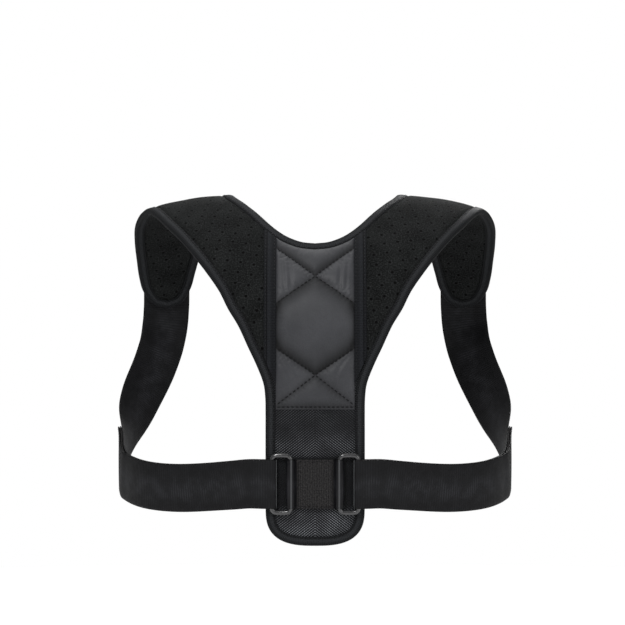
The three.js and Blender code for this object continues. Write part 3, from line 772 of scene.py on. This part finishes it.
def pinched(bound, d, stop, reach):
    """Where cloth is pressed thin inside its folded tape: 1 at the rim, 0 further in."""
    return bound[stop] * (1 - smooth((d - PINCH_START) / reach))


def ripple(x, rise, size, long):
    """Slow waves that keep soft cloth from looking pressed."""
    a = np.sin(2 * math.pi * (x + 0.35 * rise) / long + 0.7)
    b = np.sin(2 * math.pi * (rise - 0.5 * x) / (long * 1.37) + 2.1)
    c = np.sin(2 * math.pi * (x - rise) / (long * 0.61) + 4.0)
    return size * (0.45 * a + 0.35 * b + 0.2 * c)


# Shoulder pads
def pad_loop():
    """Flat loop of a right pad: up the seam and the neck edge, then back down the arm opening."""
    corner = inset(NECK, NECK_SPLIT, RIM)
    seam_long = corner[1] - SEAM_FOOT
    neck_long = NECK.long - NECK_SPLIT
    steps = 190
    seam_steps = round(steps * seam_long / (seam_long + neck_long))
    rises = np.linspace(SEAM_FOOT - PAD_LAP, corner[1], seam_steps, endpoint=False)
    seam = paired(SEAM + GAP / 2, rises)
    s = np.linspace(NECK_SPLIT, NECK.long, steps - seam_steps, endpoint=False)
    inner = np.vstack([seam, inset(NECK, s, RIM)])
    *outer, tip = inset(ARM, np.linspace(ARM_SPLIT, 0, len(inner) + 1), RIM)
    outer = np.array(outer)
    outer[0, 1] -= PAD_LAP
    middle = (inner + outer) / 2
    middle[0, 1] += 1.0
    pole = np.array([tip[0], tip[1] - PAD_POLE])
    middle = np.where(middle[:, 1:] > pole[1], pole, middle)
    rim = np.vstack([inner, tip[None], outer[::-1]])
    bound = np.ones(len(rim))
    bound[:seam_steps] = 0
    soft = np.convolve(np.pad(bound, 3, mode="edge"), np.ones(7) / 7, "valid")
    middle = np.vstack([middle, pole[None], middle[::-1]])
    return rim, middle, soft


def shoulder_pad(side):
    rim, middle, bound = pad_loop()
    roomy = smooth((np.linalg.norm(middle - rim, axis=1) - 5) / 20)

    def upper(d, x, rise, stop):
        swell = PAD_PUFF * roomy[stop] * (1 - np.exp(-np.maximum(0, d - 5) / 8))
        waves = ripple(x, rise, 0.3, 46) * smooth(d / 14)
        return SKIN - PINCH * pinched(bound, d, stop, 4.5) + swell + waves

    def lower(d, x, rise, stop):
        return pinched(bound, d, stop, 4.5)

    if side < 0:
        rim, middle = mirrored(rim), mirrored(middle)
    shares = np.concatenate([np.linspace(0, 0.34, 13), np.linspace(0.34, 1, 15)[1:]])
    name = named("shoulder_pad", side)
    piece = cloth(f"{name}_cloth", rim, middle, shares, upper, lower, PAD, "pad_knit", [name])


# Centre panel
def panel_loop():
    corner = inset(NECK, NECK_SPLIT, RIM)
    neck = inset(NECK, np.linspace(0, NECK_SPLIT, 30), RIM)
    neck[:, 0] = np.minimum(neck[:, 0], SEAM - GAP / 2)
    rises = np.linspace(corner[1], SEAM_FOOT, 60)[1:]
    seam = paired(SEAM - GAP / 2, rises)
    side = inset(ARM, np.linspace(ARM_SPLIT + 2 * GAP, ARM.long, 150), RIM)
    right = np.vstack([neck, seam, side])
    middle = paired(0, np.clip(right[:, 1], FOOT_TOP, MIDDLE_TOP))
    rim = np.vstack([right, mirrored(right[1:-1])[::-1]])
    middle = np.vstack([middle, middle[1:-1][::-1]])
    bound = np.ones(len(right))
    bound[len(neck):len(neck) + len(seam)] = 0
    return rim, middle, np.concatenate([bound, bound[1:-1][::-1]])


def centre_panel():
    rim, middle, bound = panel_loop()

    def upper(d, x, rise, stop):
        waves = ripple(x, rise, 0.18, 38) * smooth((-60 - rise) / 20) * smooth(d / 16)
        return SKIN - PINCH * pinched(bound, d, stop, 4.0) + waves

    def lower(d, x, rise, stop):
        return pinched(bound, d, stop, 4.0)

    shares = np.concatenate([np.linspace(0, 0.34, 9), np.linspace(0.34, 1, 9)[1:]])
    piece = cloth(
        "centre_panel_cloth", rim, middle, shares, upper, lower, CHEVRON, "panel_cloth", ["centre_panel"]
    )


# Quilted insert
def cross_arms(cross):
    middle = (0.0, cross["middle"])
    return [(middle, (sx * CROSS_HALF, cross[end])) for sx in (-1, 1) for end in ("foot", "top")]


ARMS = cross_arms(UPPER_CROSS) + cross_arms(LOWER_CROSS)


def to_segment(x, rise, start, end):
    """Distance from flat points to a segment, and how far along it they lie."""
    start, end = np.array(start), np.array(end)
    way = end - start
    long = np.linalg.norm(way)
    way = way / long
    along = np.clip((x - start[0]) * way[0] + (rise - start[1]) * way[1], 0, long)
    away = np.hypot(x - start[0] - along * way[0], rise - start[1] - along * way[1])
    return away, along


def stitch_distance(x, rise):
    """Distance from flat points to the nearest stitched line of the insert."""
    away, _ = to_segment(x, rise, (-CROSS_HALF, INSERT_SEAM), (CROSS_HALF, INSERT_SEAM))
    for start, end in ARMS:
        away = np.minimum(away, to_segment(x, rise, start, end)[0])
    return away


def facets(x, rise):
    """Shares of each stitched facet at flat points: top, sides above, hexagon, sides below, foot."""
    out = np.abs(x) / CROSS_HALF
    upper = rise - UPPER_CROSS["middle"]
    lower = rise - LOWER_CROSS["middle"]
    top = upper > out * (UPPER_CROSS["top"] - UPPER_CROSS["middle"])
    foot = lower < out * (LOWER_CROSS["foot"] - LOWER_CROSS["middle"])
    above = ~top & (upper > out * (UPPER_CROSS["foot"] - UPPER_CROSS["middle"]))
    below = ~foot & (lower < out * (LOWER_CROSS["top"] - LOWER_CROSS["middle"]))
    return top, above, ~top & ~above & ~foot & ~below, below, foot


def pillow(x, rise):
    """Height of the cushion between its stitched lines, before the cloth is blown up."""
    away = stitch_distance(x, rise)
    border = np.minimum(INSERT_HALF - np.abs(x) + 0.8, neck_rise(x) - rise + 1.5)
    high = np.select(facets(x, rise), [2.6, 2.0, 4.4, 2.2, 2.2])
    reach = np.select(facets(x, rise), [4.5, 3.0, 7.0, 3.0, 4.0])
    return high * (1 - np.exp(-(away / reach) ** 1.3)) * (1 - np.exp(-border / 4.0))


def painted_stitch_shade(x, rise):
    """How much painted shade the cloth takes beside its stitches, darkest round the hexagon."""
    away = stitch_distance(x, rise)
    level = rise - (UPPER_CROSS["middle"] + LOWER_CROSS["middle"]) / 2
    hexagon = mix(1.0, 0.85, smooth(level / 20 + 0.5))
    # how dark and how wide the painted shade is in each facet, darkest round the hexagon
    shade_strength = np.select(facets(x, rise), [0.85, 0.3, hexagon, 0.35, 0.6])
    reach = np.select(facets(x, rise), [6.0, 1.8, 9.5, 3.0, 5.0])
    # painted shade along the insert's left and right borders, strongest near mid height
    border = np.exp(-((INSERT_HALF - np.abs(x)) / 4.5) ** 2)
    side = 0.45 * border * smooth(1.3 - np.abs(level) / 34)
    tooth = 0.92 + 0.08 * np.sin(2 * math.pi * x / 3.1) * np.exp(-away / 3)
    return np.clip(shade_strength * tooth * np.exp(-((away / reach) ** 1.6)) + side, 0, 0.95)


def creases(x, rise):
    """Puckers along the stitches and the soft folds of the side facets."""
    pucker = np.zeros(x.shape)
    for index, (start, end) in enumerate(ARMS):
        d, s = to_segment(x, rise, start, end)
        wave = np.sin(2 * math.pi * s / 3.9 + index) + 0.5 * np.sin(2 * math.pi * s / 6.3 + 2 * index)
        pucker += 0.14 * wave * np.exp(-((d - 2.4) / 2.2) ** 2)
    _, above, _, below, _ = facets(x, rise)
    bend = np.abs(x) - 22.5 - 0.06 * (rise - 50)
    folds = np.exp(-((bend / 2.4) ** 2)) + 0.7 * np.exp(-(((bend - 6) / 1.8) ** 2))
    sweep = np.abs(x) - 15 - 0.012 * (rise + 58) ** 2
    swept = np.exp(-((sweep / 2.4) ** 2)) + 0.6 * np.exp(-(((sweep - 7) / 2.2) ** 2))
    border = np.minimum(INSERT_HALF - np.abs(x), neck_rise(x) - rise)
    inside = smooth(stitch_distance(x, rise) / 5)
    soft = 0.8 * folds * above + 0.8 * swept * below
    return (pucker - soft * inside) * smooth(border / 3)


def blown_up(x, rise, start):
    """The insert's face swollen by a short cloth simulation, held down where it is sewn."""
    points = np.stack([x, -start, rise], -1).reshape(-1, 3) * SIM_SCALE
    mesh = bpy.data.meshes.new("insert_sim")
    mesh.from_pydata(points.tolist(), [], quads(np.arange(x.size).reshape(x.shape)))
    piece = put_in("insert_sim", mesh)
    rim = np.zeros(x.shape, bool)
    rim[[0, -1]] = True
    rim[:, [0, -1]] = True
    sewn = np.flatnonzero((stitch_distance(x, rise) < SEWN_REACH) | rim)
    held = piece.vertex_groups.new(name="held")
    held.add(sewn.tolist(), 1.0, "REPLACE")
    cloth_modifier = piece.modifiers.new("cloth", "CLOTH")
    for key, value in SIM_CLOTH.items():
        setattr(cloth_modifier.settings, key, value)
    cloth_modifier.settings.vertex_group_mass = held.name
    cloth_modifier.settings.effector_weights.gravity = 0
    cloth_modifier.point_cache.frame_start = 1
    cloth_modifier.point_cache.frame_end = SIM_FRAMES
    for moment in range(1, SIM_FRAMES + 1):
        bpy.context.scene.frame_set(moment)
    posed = piece.evaluated_get(bpy.context.evaluated_depsgraph_get())
    result = np.zeros(len(posed.data.vertices) * 3)
    posed.data.vertices.foreach_get("co", result)
    bpy.context.scene.frame_set(1)
    bpy.data.objects.remove(piece)
    return -result.reshape(*x.shape, 3)[..., 1] / SIM_SCALE


def quilted_insert():
    rows, columns = INSERT_GRID
    x = np.broadcast_to(np.linspace(-INSERT_HALF, INSERT_HALF, columns), INSERT_GRID)
    share = np.linspace(0, 1, rows)[:, None]
    top = neck_rise(x[:1]) + 0.6
    rise = mix(INSERT_FOOT, top, share) + 0 * x
    high = pillow(x, rise)
    high = SIM_CAP * np.tanh(np.maximum(0, blown_up(x, rise, high * SIM_START)) / SIM_CAP)
    height = SEWN_HEIGHT + high + creases(x, rise)
    border = np.minimum(INSERT_HALF - np.abs(x), np.minimum(rise - INSERT_FOOT, top - rise))
    height = height * (0.35 + 0.65 * smooth(border / 1.4))
    base = SKIN + INSERT_BED
    upper = on_form(x, rise, base + np.maximum(height, INSERT_BED))
    lower = on_form(x, rise, base)
    # the insert carries its painted shade beside the stitches
    piece = slab(
        "quilted_insert_leather", upper, lower, paired(x, rise), LEATHER, "quilted_leather",
        ["quilted_insert"], painted_stitch_shade(x, rise),
    )


# Folded tapes
TAPE_PROFILE = [
    (8.5, -0.15), (6.0, -0.35), (3.0, -0.4), (1.2, -0.25), (0.35, 0.35), (0.0, 1.4), (0.0, 3.0),
    (0.3, 4.2), (1.0, 4.95), (2.4, 5.4), (4.4, 5.55), (6.4, 5.4), (7.9, 5.0), (8.5, 4.55),
    (8.3, 3.9), (5.0, 3.95), (1.3, 3.75), (1.0, 2.2), (1.3, 0.85), (5.0, 0.7), (8.3, 0.75),
]


def folded_tape(name, line, s):
    """Tape folded over an edge, from one front tip round to the other."""
    depths, heights = np.array(TAPE_PROFILE).T
    right = np.stack([inset(line, s, d) for d in depths], 1)
    far = s[::-1]
    left = mirrored(right[::-1])
    flat = np.concatenate([left[:-1], right]) if s[0] == 0 else np.concatenate([right, left[1:]])
    along = np.concatenate([-far[:-1], s]) if s[0] == 0 else np.concatenate([s, 2 * s[-1] - far[1:]])
    swell = 0.12 * np.sin(along / 9.0) + 0.08 * np.sin(along / 3.7 + 1)
    lifts = heights + np.where(heights > 4.3, swell[:, None], 0)
    sections = on_form(flat[..., 0], flat[..., 1], lifts)
    layout = paired(along[:, None], depths - TAPE_WIDE / 2)
    piece = run(f"{name}_tape", sections, layout, TAPE, "binding_tape", [name])
    as_sheet(abs(along[-1] - along[0]))


def bindings():
    cut = 0.2
    folded_tape("neck_binding", NECK, np.linspace(0, NECK.long - cut, 210))
    folded_tape("outer_binding", ARM, np.linspace(cut, ARM.long, 330))


def seam_tape(side):
    t = np.linspace(0, 1, 13)
    x = mix(*SEAM_TAPE_SIDES, t)
    rise = mix(mix(*SEAM_TAPE_FEET, t), neck_rise(x) + 0.4, np.linspace(0, 1, 110)[:, None])
    dome = 0.45 * (1 - (2 * t - 1) ** 2) + 0.12 * np.sin(rise / 6.5)
    base = SKIN + 0.45
    upper = on_form(side * x, rise, base + 0.75 + dome)
    lower = on_form(side * x, rise, base + 0.3 * dome)
    layout = paired(rise, x - sum(SEAM_TAPE_SIDES) / 2)
    name = named("seam_tape", side)
    piece = slab(f"{name}_cloth", upper, lower, layout, SEAM_CLOTH, "seam_tape", [name])
    wide = SEAM_TAPE_SIDES[1] - SEAM_TAPE_SIDES[0]
    longs = (rise[-1] - rise[0])[[0, -1]]
    as_sheet(longs.max(), wide * longs.mean())


# Rings, keeper and patch
def ring_path():
    """Flat centre line of a right ring, and its direction outwards."""
    stops = []
    for sx, sz, start in ((1, 1, 0), (-1, 1, 90), (-1, -1, 180), (1, -1, 270)):
        for i in range(RING_CUTS + 1):
            turn = math.radians(start + 90 * i / RING_CUTS)
            out = (math.cos(turn), math.sin(turn))
            x = RING_MIDDLE + sx * (TURN_AT - RING_CORNER) + RING_CORNER * out[0]
            stops.append((x, sz * (RING_HALF_HIGH - RING_CORNER) + RING_CORNER * out[1], *out))
    dense = []
    for here, there in zip(stops, stops[1:] + stops[:1]):
        cuts = max(1, round(math.hypot(there[0] - here[0], there[1] - here[1]) / RING_PITCH))
        for j in range(cuts):
            dense.append([mix(a, b, j / cuts) for a, b in zip(here, there)])
    path = np.array(dense)
    level = np.maximum(0, 1 - ((path[:, 0] - RING_MIDDLE) / TURN_AT) ** 2)
    path[:, 1] += RING_ARCH * level * np.sign(path[:, 1])
    return path


def ring(side):
    path = ring_path()
    turn = np.linspace(0, 2 * math.pi, 20, endpoint=False)
    out, up = BAR * np.cos(turn), BAR * np.sin(turn)
    x = path[:, :1] + out * path[:, 2:3]
    rise = BELT_LEVEL + path[:, 1:2] + out * path[:, 3:4]
    sections = on_form(side * x, rise, RING_LIFT + up)
    name = named("ring", side)
    run(f"{name}_moulding", sections, paired(x, rise), RING, "ring_plastic", [name], closed=True)


def offset_sides(path, half):
    """Both sides of a band whose middle line lies in a plane."""
    way = unit(np.roll(path, -1, axis=0) - np.roll(path, 1, axis=0))
    normal = paired(-way[:, 1], way[:, 0])
    return path + normal * half, path - normal * half


def thinned(path, band, share):
    """One side of a band across its width, drawn in to a share of its distance from the middle."""
    return path[:, None] + (band - path)[:, None] * share[:, None]


def keeper():
    back = RING_LIFT - KEEPER_TURN
    dip = back + KEEPER_THICK + GAP
    turns = np.radians(np.linspace(150, -90, 22))
    arc = KEEPER_TURN * paired(np.cos(turns), np.sin(turns)) + (RING_INNER, RING_LIFT)
    front = [(out, dip + up) for out, up in KEEPER_FRONT]
    right = np.vstack([front, arc, [(out, back) for out in KEEPER_REAR]])
    path = np.vstack([right, mirrored(right[1:-1][::-1])])
    ends = np.linspace(-1, 1, 17)
    rise = BELT_LEVEL + ends * WEB_HALF
    thin = 1 - 0.35 * np.abs(ends) ** 8
    camber = 0.18 * (1 - ends ** 2)
    forward = smooth((path[:, 1] - RING_LIFT) / 2)[:, None]
    walls = []
    for band in offset_sides(path, KEEPER_THICK / 2):
        wall = thinned(path, band, thin)
        walls.append(on_form(wall[..., 0], rise, wall[..., 1] + camber * forward))
    sections = np.concatenate([walls[0], walls[1][:, ::-1]], 1)
    lengths = running(path)
    across = np.concatenate([ends, ends[::-1]]) * WEB_HALF
    layout = paired(lengths[:, None], across)
    piece = run("ring_keeper_web", sections, layout, KEEPER, "keeper_webbing", ["ring_keeper"], closed=True)
    as_sheet(lengths[-1] + np.linalg.norm(path[0] - path[-1]))


def keeper_patch():
    x = np.linspace(-PATCH_HALF, PATCH_HALF, 37)
    rise = BELT_LEVEL + np.linspace(-WEB_HALF, WEB_HALF, 45)[:, None]
    border = np.minimum(PATCH_HALF - np.abs(x), WEB_HALF - np.abs(rise - BELT_LEVEL))
    base = RING_LIFT - KEEPER_TURN + KEEPER_THICK * 1.5 + 2 * GAP
    rough = 0.16 * np.sin(x * 1.7 + 0.6 * np.sin(rise)) * np.sin(rise * 1.3 + 2 * np.sin(0.7 * x))
    height = 0.5 + 0.75 * smooth(border / 1.6) + rough * smooth(border / 2)
    upper = on_form(x, rise, base + height)
    lower = on_form(x, rise, base)
    piece = slab("keeper_patch_hooks", upper, lower, paired(x, rise), HOOKS, "hook_tape", ["keeper_patch"])
    as_sheet(WEB_WIDE)


# Straps
def belt_line():
    start = seat(RING_MIDDLE, BELT_LEVEL)
    rows = np.array([(a * CHEST / 2, b * DEPTH, c * BELT_LEVEL) for a, b, c in BELT_ROWS])
    tip = NECK.at(NECK.long)
    backs = np.array(FRONT_SEATS)
    front = seat(tip[0] - backs * FRONT_LEAN, tip[1] - backs)
    return Line(np.vstack([start[None], settle(rows), front]))


BELT = belt_line()
BELT_LONG = BELT.long - FRONT_SPARE
INNER_LIFT = WEB_LIFT + WEB_THICK / 2
OUTER_LIFT = INNER_LIFT + WEB_THICK + GAP


def belt_points(s, across, lift):
    """Points on the strap's way: s along it, across its width, lift off the form."""
    s, across, lift = matched(s, across, lift)
    centre = settle(BELT.at(s))
    wide = unit(np.cross(slope(centre), BELT.way(s)))
    return raised(settle(centre + wide * across[..., None]), lift)


def inner_lift(s):
    start = BELT_LONG - PAD_OVERLAP - PAD_RISE["before"]
    climb = mix(RING_LIFT - STRAP_TURN, INNER_LIFT, smooth((s - TURN_AT - LEVEL_RUN) / CLIMB_RUN))
    on_pad = SKIN + PAD_PUFF + PAD_CLEAR + WEB_THICK / 2
    return mix(climb, on_pad, smooth((s - start) / PAD_RISE["run"]))


def outer_lift(s):
    down = mix(RING_LIFT + STRAP_TURN, OUTER_LIFT, smooth((s - TURN_AT - FALL_START) / FALL_RUN))
    start = FREE_END - HOOK_LONG - HOOK_RISE["before"]
    return down + HOOK_RISE["lift"] * smooth((s - start) / HOOK_RISE["run"])


def strap_path():
    """The strap's middle line (place, lift) from the pad to its free end, and its half width."""
    back = np.arange(BELT_LONG, TURN_AT + LEVEL_RUN, -STRAP_STEP)
    turns = np.radians(np.linspace(0, 180, 19))
    fold = (TURN_AT, RING_LIFT) - STRAP_TURN * paired(np.sin(turns), np.cos(turns))
    level = np.arange(TURN_AT + 2 * STRAP_STEP, FREE_END - END_ROUND, STRAP_STEP)
    out = np.append(level, FREE_END - END_ROUND * (1 - np.sin(np.linspace(0, math.pi / 2, 7))))
    path = np.vstack([paired(back, inner_lift(back)), fold, paired(out, outer_lift(out))])
    past = np.maximum(0, out - FREE_END + END_ROUND)
    half = np.full(len(path), WEB_HALF)
    half[-len(out):] -= END_ROUND - np.sqrt(np.maximum(0, END_ROUND ** 2 - past ** 2))
    return path, half


def strap(side):
    path, half = strap_path()
    t = np.array([-1, -0.985, -0.95, -0.8, -0.6, -0.4, -0.2, 0, 0.2, 0.4, 0.6, 0.8, 0.95, 0.985, 1])
    thick = 1 - 0.45 * np.abs(t) ** 30
    lengths = running(path)
    sag = STRAP_SAG * np.sin(lengths / 17)[:, None] * np.sin(2.2 * t + 0.4)
    camber = STRAP_CAMBER * (1 - t ** 2) * smooth((lengths - CAMBER_START) / 40)[:, None]
    walls = []
    for band in offset_sides(path, WEB_THICK / 2):
        band[0] = band[1] + path[0] - path[1]
        band[-1] = band[-2] + path[-1] - path[-2]
        wall = thinned(path, band, thick)
        lift = wall[..., 1] + camber + sag * smooth((lengths - SAG_START) / 60)[:, None]
        walls.append(turned(belt_points(wall[..., 0], t * half[:, None], lift), side))
    layout = paired(lengths[:, None], t * WEB_HALF)
    name = named("strap", side)
    piece = slab(f"{name}_web", *walls, layout, STRAP, "strap_webbing", [name])
    as_sheet(lengths[-1])


def hook_tab(side):
    s = np.linspace(FREE_END - HOOK_LONG + 2, FREE_END - 2, 30)[:, None]
    across = np.linspace(-0.5, 0.5, 11)[None] * HOOK_WIDE
    base = INNER_LIFT + WEB_THICK / 2 + GAP
    bristle = 0.08 * np.sin(s * 2.1) * np.sin(across * 1.9)
    upper = turned(belt_points(s, across, base + HOOK_THICK + bristle), side)
    lower = turned(belt_points(s, across, base), side)
    name = named("hook_tab", side)
    piece = slab(f"{name}_hooks", upper, lower, paired(s, across), HOOKS, "hook_tape", [name])
    as_sheet(HOOK_LONG - 4)


# Stitches
def stitches(name, rows, material, slot, long=3.0, gap=1.2, thick=0.32):
    """Sewn rows as short threads; each row is (place, length): place(s, lift) gives points."""
    points, faces = [], []
    around = 6
    turn = np.linspace(0, 2 * math.pi, around, endpoint=False)
    steps = np.array([0.0, 0.12, 0.5, 0.88, 1.0])
    sink = np.array([-0.35, 0.1, 0.3, 0.1, -0.35])
    fat = np.array([0.45, 0.95, 1.0, 0.95, 0.45]) * thick
    for place, total in rows:
        count = int(total // (long + gap))
        starts = (np.arange(count) + 0.5) * total / count - long / 2
        s = starts[:, None] + steps * long
        core = place(s, sink)
        up = unit(place(s, sink + 0.2) - core)
        wide = unit(np.cross(up, np.gradient(core, axis=1)))
        high = up[:, :, None] * (np.sin(turn) * fat[:, None])[..., None]
        broad = wide[:, :, None] * (np.cos(turn) * fat[:, None])[..., None]
        for stitch in core[:, :, None] + high + broad:
            faces += tube_faces(len(steps), around, len(points) * around)
            points.extend(stitch)
    points = np.concatenate(points)
    return make_piece(name, points, faces, points[:, :2], material, slot)


def straight_row(start, end, put):
    """A straight row between two places of a layout; put(p, q, extra) gives its points."""
    start, end = np.array(start, float), np.array(end, float)
    total = np.linalg.norm(end - start)

    def place(s, extra):
        p, q = np.moveaxis(start + (end - start) * (s / total)[..., None], -1, 0)
        return put(p, q, extra)

    return place, total


def flat_row(start, end, lift):
    """A straight row between two flat points, at one lift off the form."""
    def put(x, rise, extra):
        return on_form(x, rise, lift + extra)

    return straight_row(start, end, put)


def edge_row(line, start, end, side):
    """A row along a folded tape, between two lengths of its edge."""
    def place(s, extra):
        p = inset(line, start + s, TAPE_SEWN["in"])
        return on_form(side * p[..., 0], p[..., 1], TAPE_SEWN["lift"] + extra)

    return place, end - start


def insert_stitches():
    lift = SKIN + INSERT_BED + SEWN_HEIGHT + 0.15
    rows = [flat_row(start, (end[0] * 0.985, end[1]), lift) for start, end in ARMS]
    rows.append(flat_row((-CROSS_HALF, INSERT_SEAM), (CROSS_HALF, INSERT_SEAM), lift))
    stitches("insert_stitches", rows, DARK_THREAD, "quilted_leather", 2.8, 1.2, 0.42)


def tape_stitches():
    rows = []
    for side in (-1, 1):
        rows.append(edge_row(NECK, 0.6, NECK.long - 2, side))
        rows.append(edge_row(ARM, 2, ARM.long - 0.6, side))
    stitches("binding_stitches", rows, GREY_THREAD, "binding_tape", 2.8, 1.1, 0.26)
    rows = []
    for side in (-1, 1):
        for share in (0.14, 0.86):
            x = mix(*SEAM_TAPE_SIDES, share)
            foot = mix(*SEAM_TAPE_FEET, share) + 1
            rows.append(flat_row((side * x, foot), (side * x, float(neck_rise(x))), SKIN + 1.45))
    stitches("seam_tape_stitches", rows, GREY_THREAD, "seam_tape", 2.6, 1.1, 0.24)


def keeper_stitches():
    half = WEB_HALF - 1
    rows = []
    for side in (-1, 1):
        for x, lift in KEEPER_SEWN:
            rows.append(flat_row((side * x, BELT_LEVEL - half), (side * x, BELT_LEVEL + half), lift))
    for end in (-1, 1):
        rise = BELT_LEVEL + end * (half - 0.8)
        rows.append(flat_row((-15, rise), (15, rise), KEEPER_SEWN[0][1]))
    stitches("keeper_stitches", rows, DARK_THREAD, "keeper_webbing", 2.4, 1.1, 0.28)


def strap_row(start, end, lift_of, side):
    def put(s, across, extra):
        camber = STRAP_CAMBER * (1 - (across / WEB_HALF) ** 2) * (lift_of is outer_lift)
        lift = lift_of(s) + WEB_THICK / 2 + camber - STITCH_BED
        return turned(belt_points(s, across, lift + extra), side)

    return straight_row(start, end, put)


def strap_stitches():
    """A sewn box with a cross where each strap is fixed to its pad, and a box over each hook tab."""
    half = WEB_HALF - 4
    boxes = (
        (BELT_LONG - PAD_OVERLAP + 14, BELT_LONG - 4, half, inner_lift),
        (FREE_END - HOOK_LONG + 5, FREE_END - 4, half + 2, outer_lift),
    )
    rows = []
    for side in (-1, 1):
        for start, end, high, lift_of in boxes:
            box = [(start, -high), (end, -high), (end, high), (start, high)]
            lines = list(zip(box, box[1:] + box[:1]))
            if lift_of is inner_lift:
                lines += [(box[0], box[2]), (box[1], box[3])]
            rows += [strap_row(a, b, lift_of, side) for a, b in lines]
    stitches("strap_stitches", rows, GREY_THREAD, "strap_webbing", 3.0, 1.2, 0.28)


# Studio
def studio():
    floor_mesh = bpy.data.meshes.new("floor")
    turns = np.linspace(0, 2 * math.pi, 96, endpoint=False)
    rim = [(FLOOR_REACH * math.cos(t), FLOOR_REACH * math.sin(t), FLOOR_LEVEL) for t in turns]
    floor_mesh.from_pydata(rim, [], [tuple(range(len(rim)))])
    floor = put_in("floor", floor_mesh)
    paint = Finish("floor_paint", (0.9, 0.9, 0.9), 0.95, 0.0)
    cloud = paint.noise(paint.place(), 0.002, 2.0, 0.5)
    paint.colour(paint.blend(cloud, (0.89, 0.89, 0.89), (0.91, 0.91, 0.91)))
    floor_mesh.materials.append(paint.material)
    floor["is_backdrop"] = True
    world = bpy.data.worlds.new("studio")
    world.use_nodes = True
    backdrop = world.node_tree.nodes["Background"]
    sky = Graph(world.node_tree)
    seen = sky.add("ShaderNodeLightPath", out="Is Camera Ray")
    sky.feed(backdrop.inputs["Strength"], seen * (1 - ROOM_LIGHT) + ROOM_LIGHT)
    backdrop.inputs["Color"].default_value = (1, 1, 1, 1)
    bpy.context.scene.world = world
    for name, place, size, power in LIGHTS:
        data = bpy.data.lights.new(name, "AREA")
        data.size = size
        data.energy = power
        light = put_in(name, data)
        light.location = place
        towards = Vector(LIGHT_AIM) - Vector(place)
        light.rotation_euler = towards.to_track_quat("-Z", "Y").to_euler()
    bpy.context.scene.view_settings.view_transform = "Standard"


def camera():
    """The photo's view: straight on to the panel, 0.9 mm to a pixel there."""
    data = bpy.data.cameras.new("camera")
    data.sensor_width = 36
    data.lens = CAMERA_LENS
    data.clip_end = 50
    view = put_in("camera", data)
    view.location = CAMERA_PLACE
    view.rotation_euler = (math.pi / 2, 0, 0)
    bpy.context.scene.camera = view


camera()
studio()
centre_panel()
quilted_insert()
bindings()
keeper()
keeper_patch()
for side in (1, -1):
    shoulder_pad(side)
    seam_tape(side)
    ring(side)
    strap(side)
    hook_tab(side)
insert_stitches()
tape_stitches()
keeper_stitches()
strap_stitches()

boxes = {"cad": CAD_BOX, "visual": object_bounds()}
{k: [list(map(float, corner)) for corner in v] for k, v in boxes.items()}
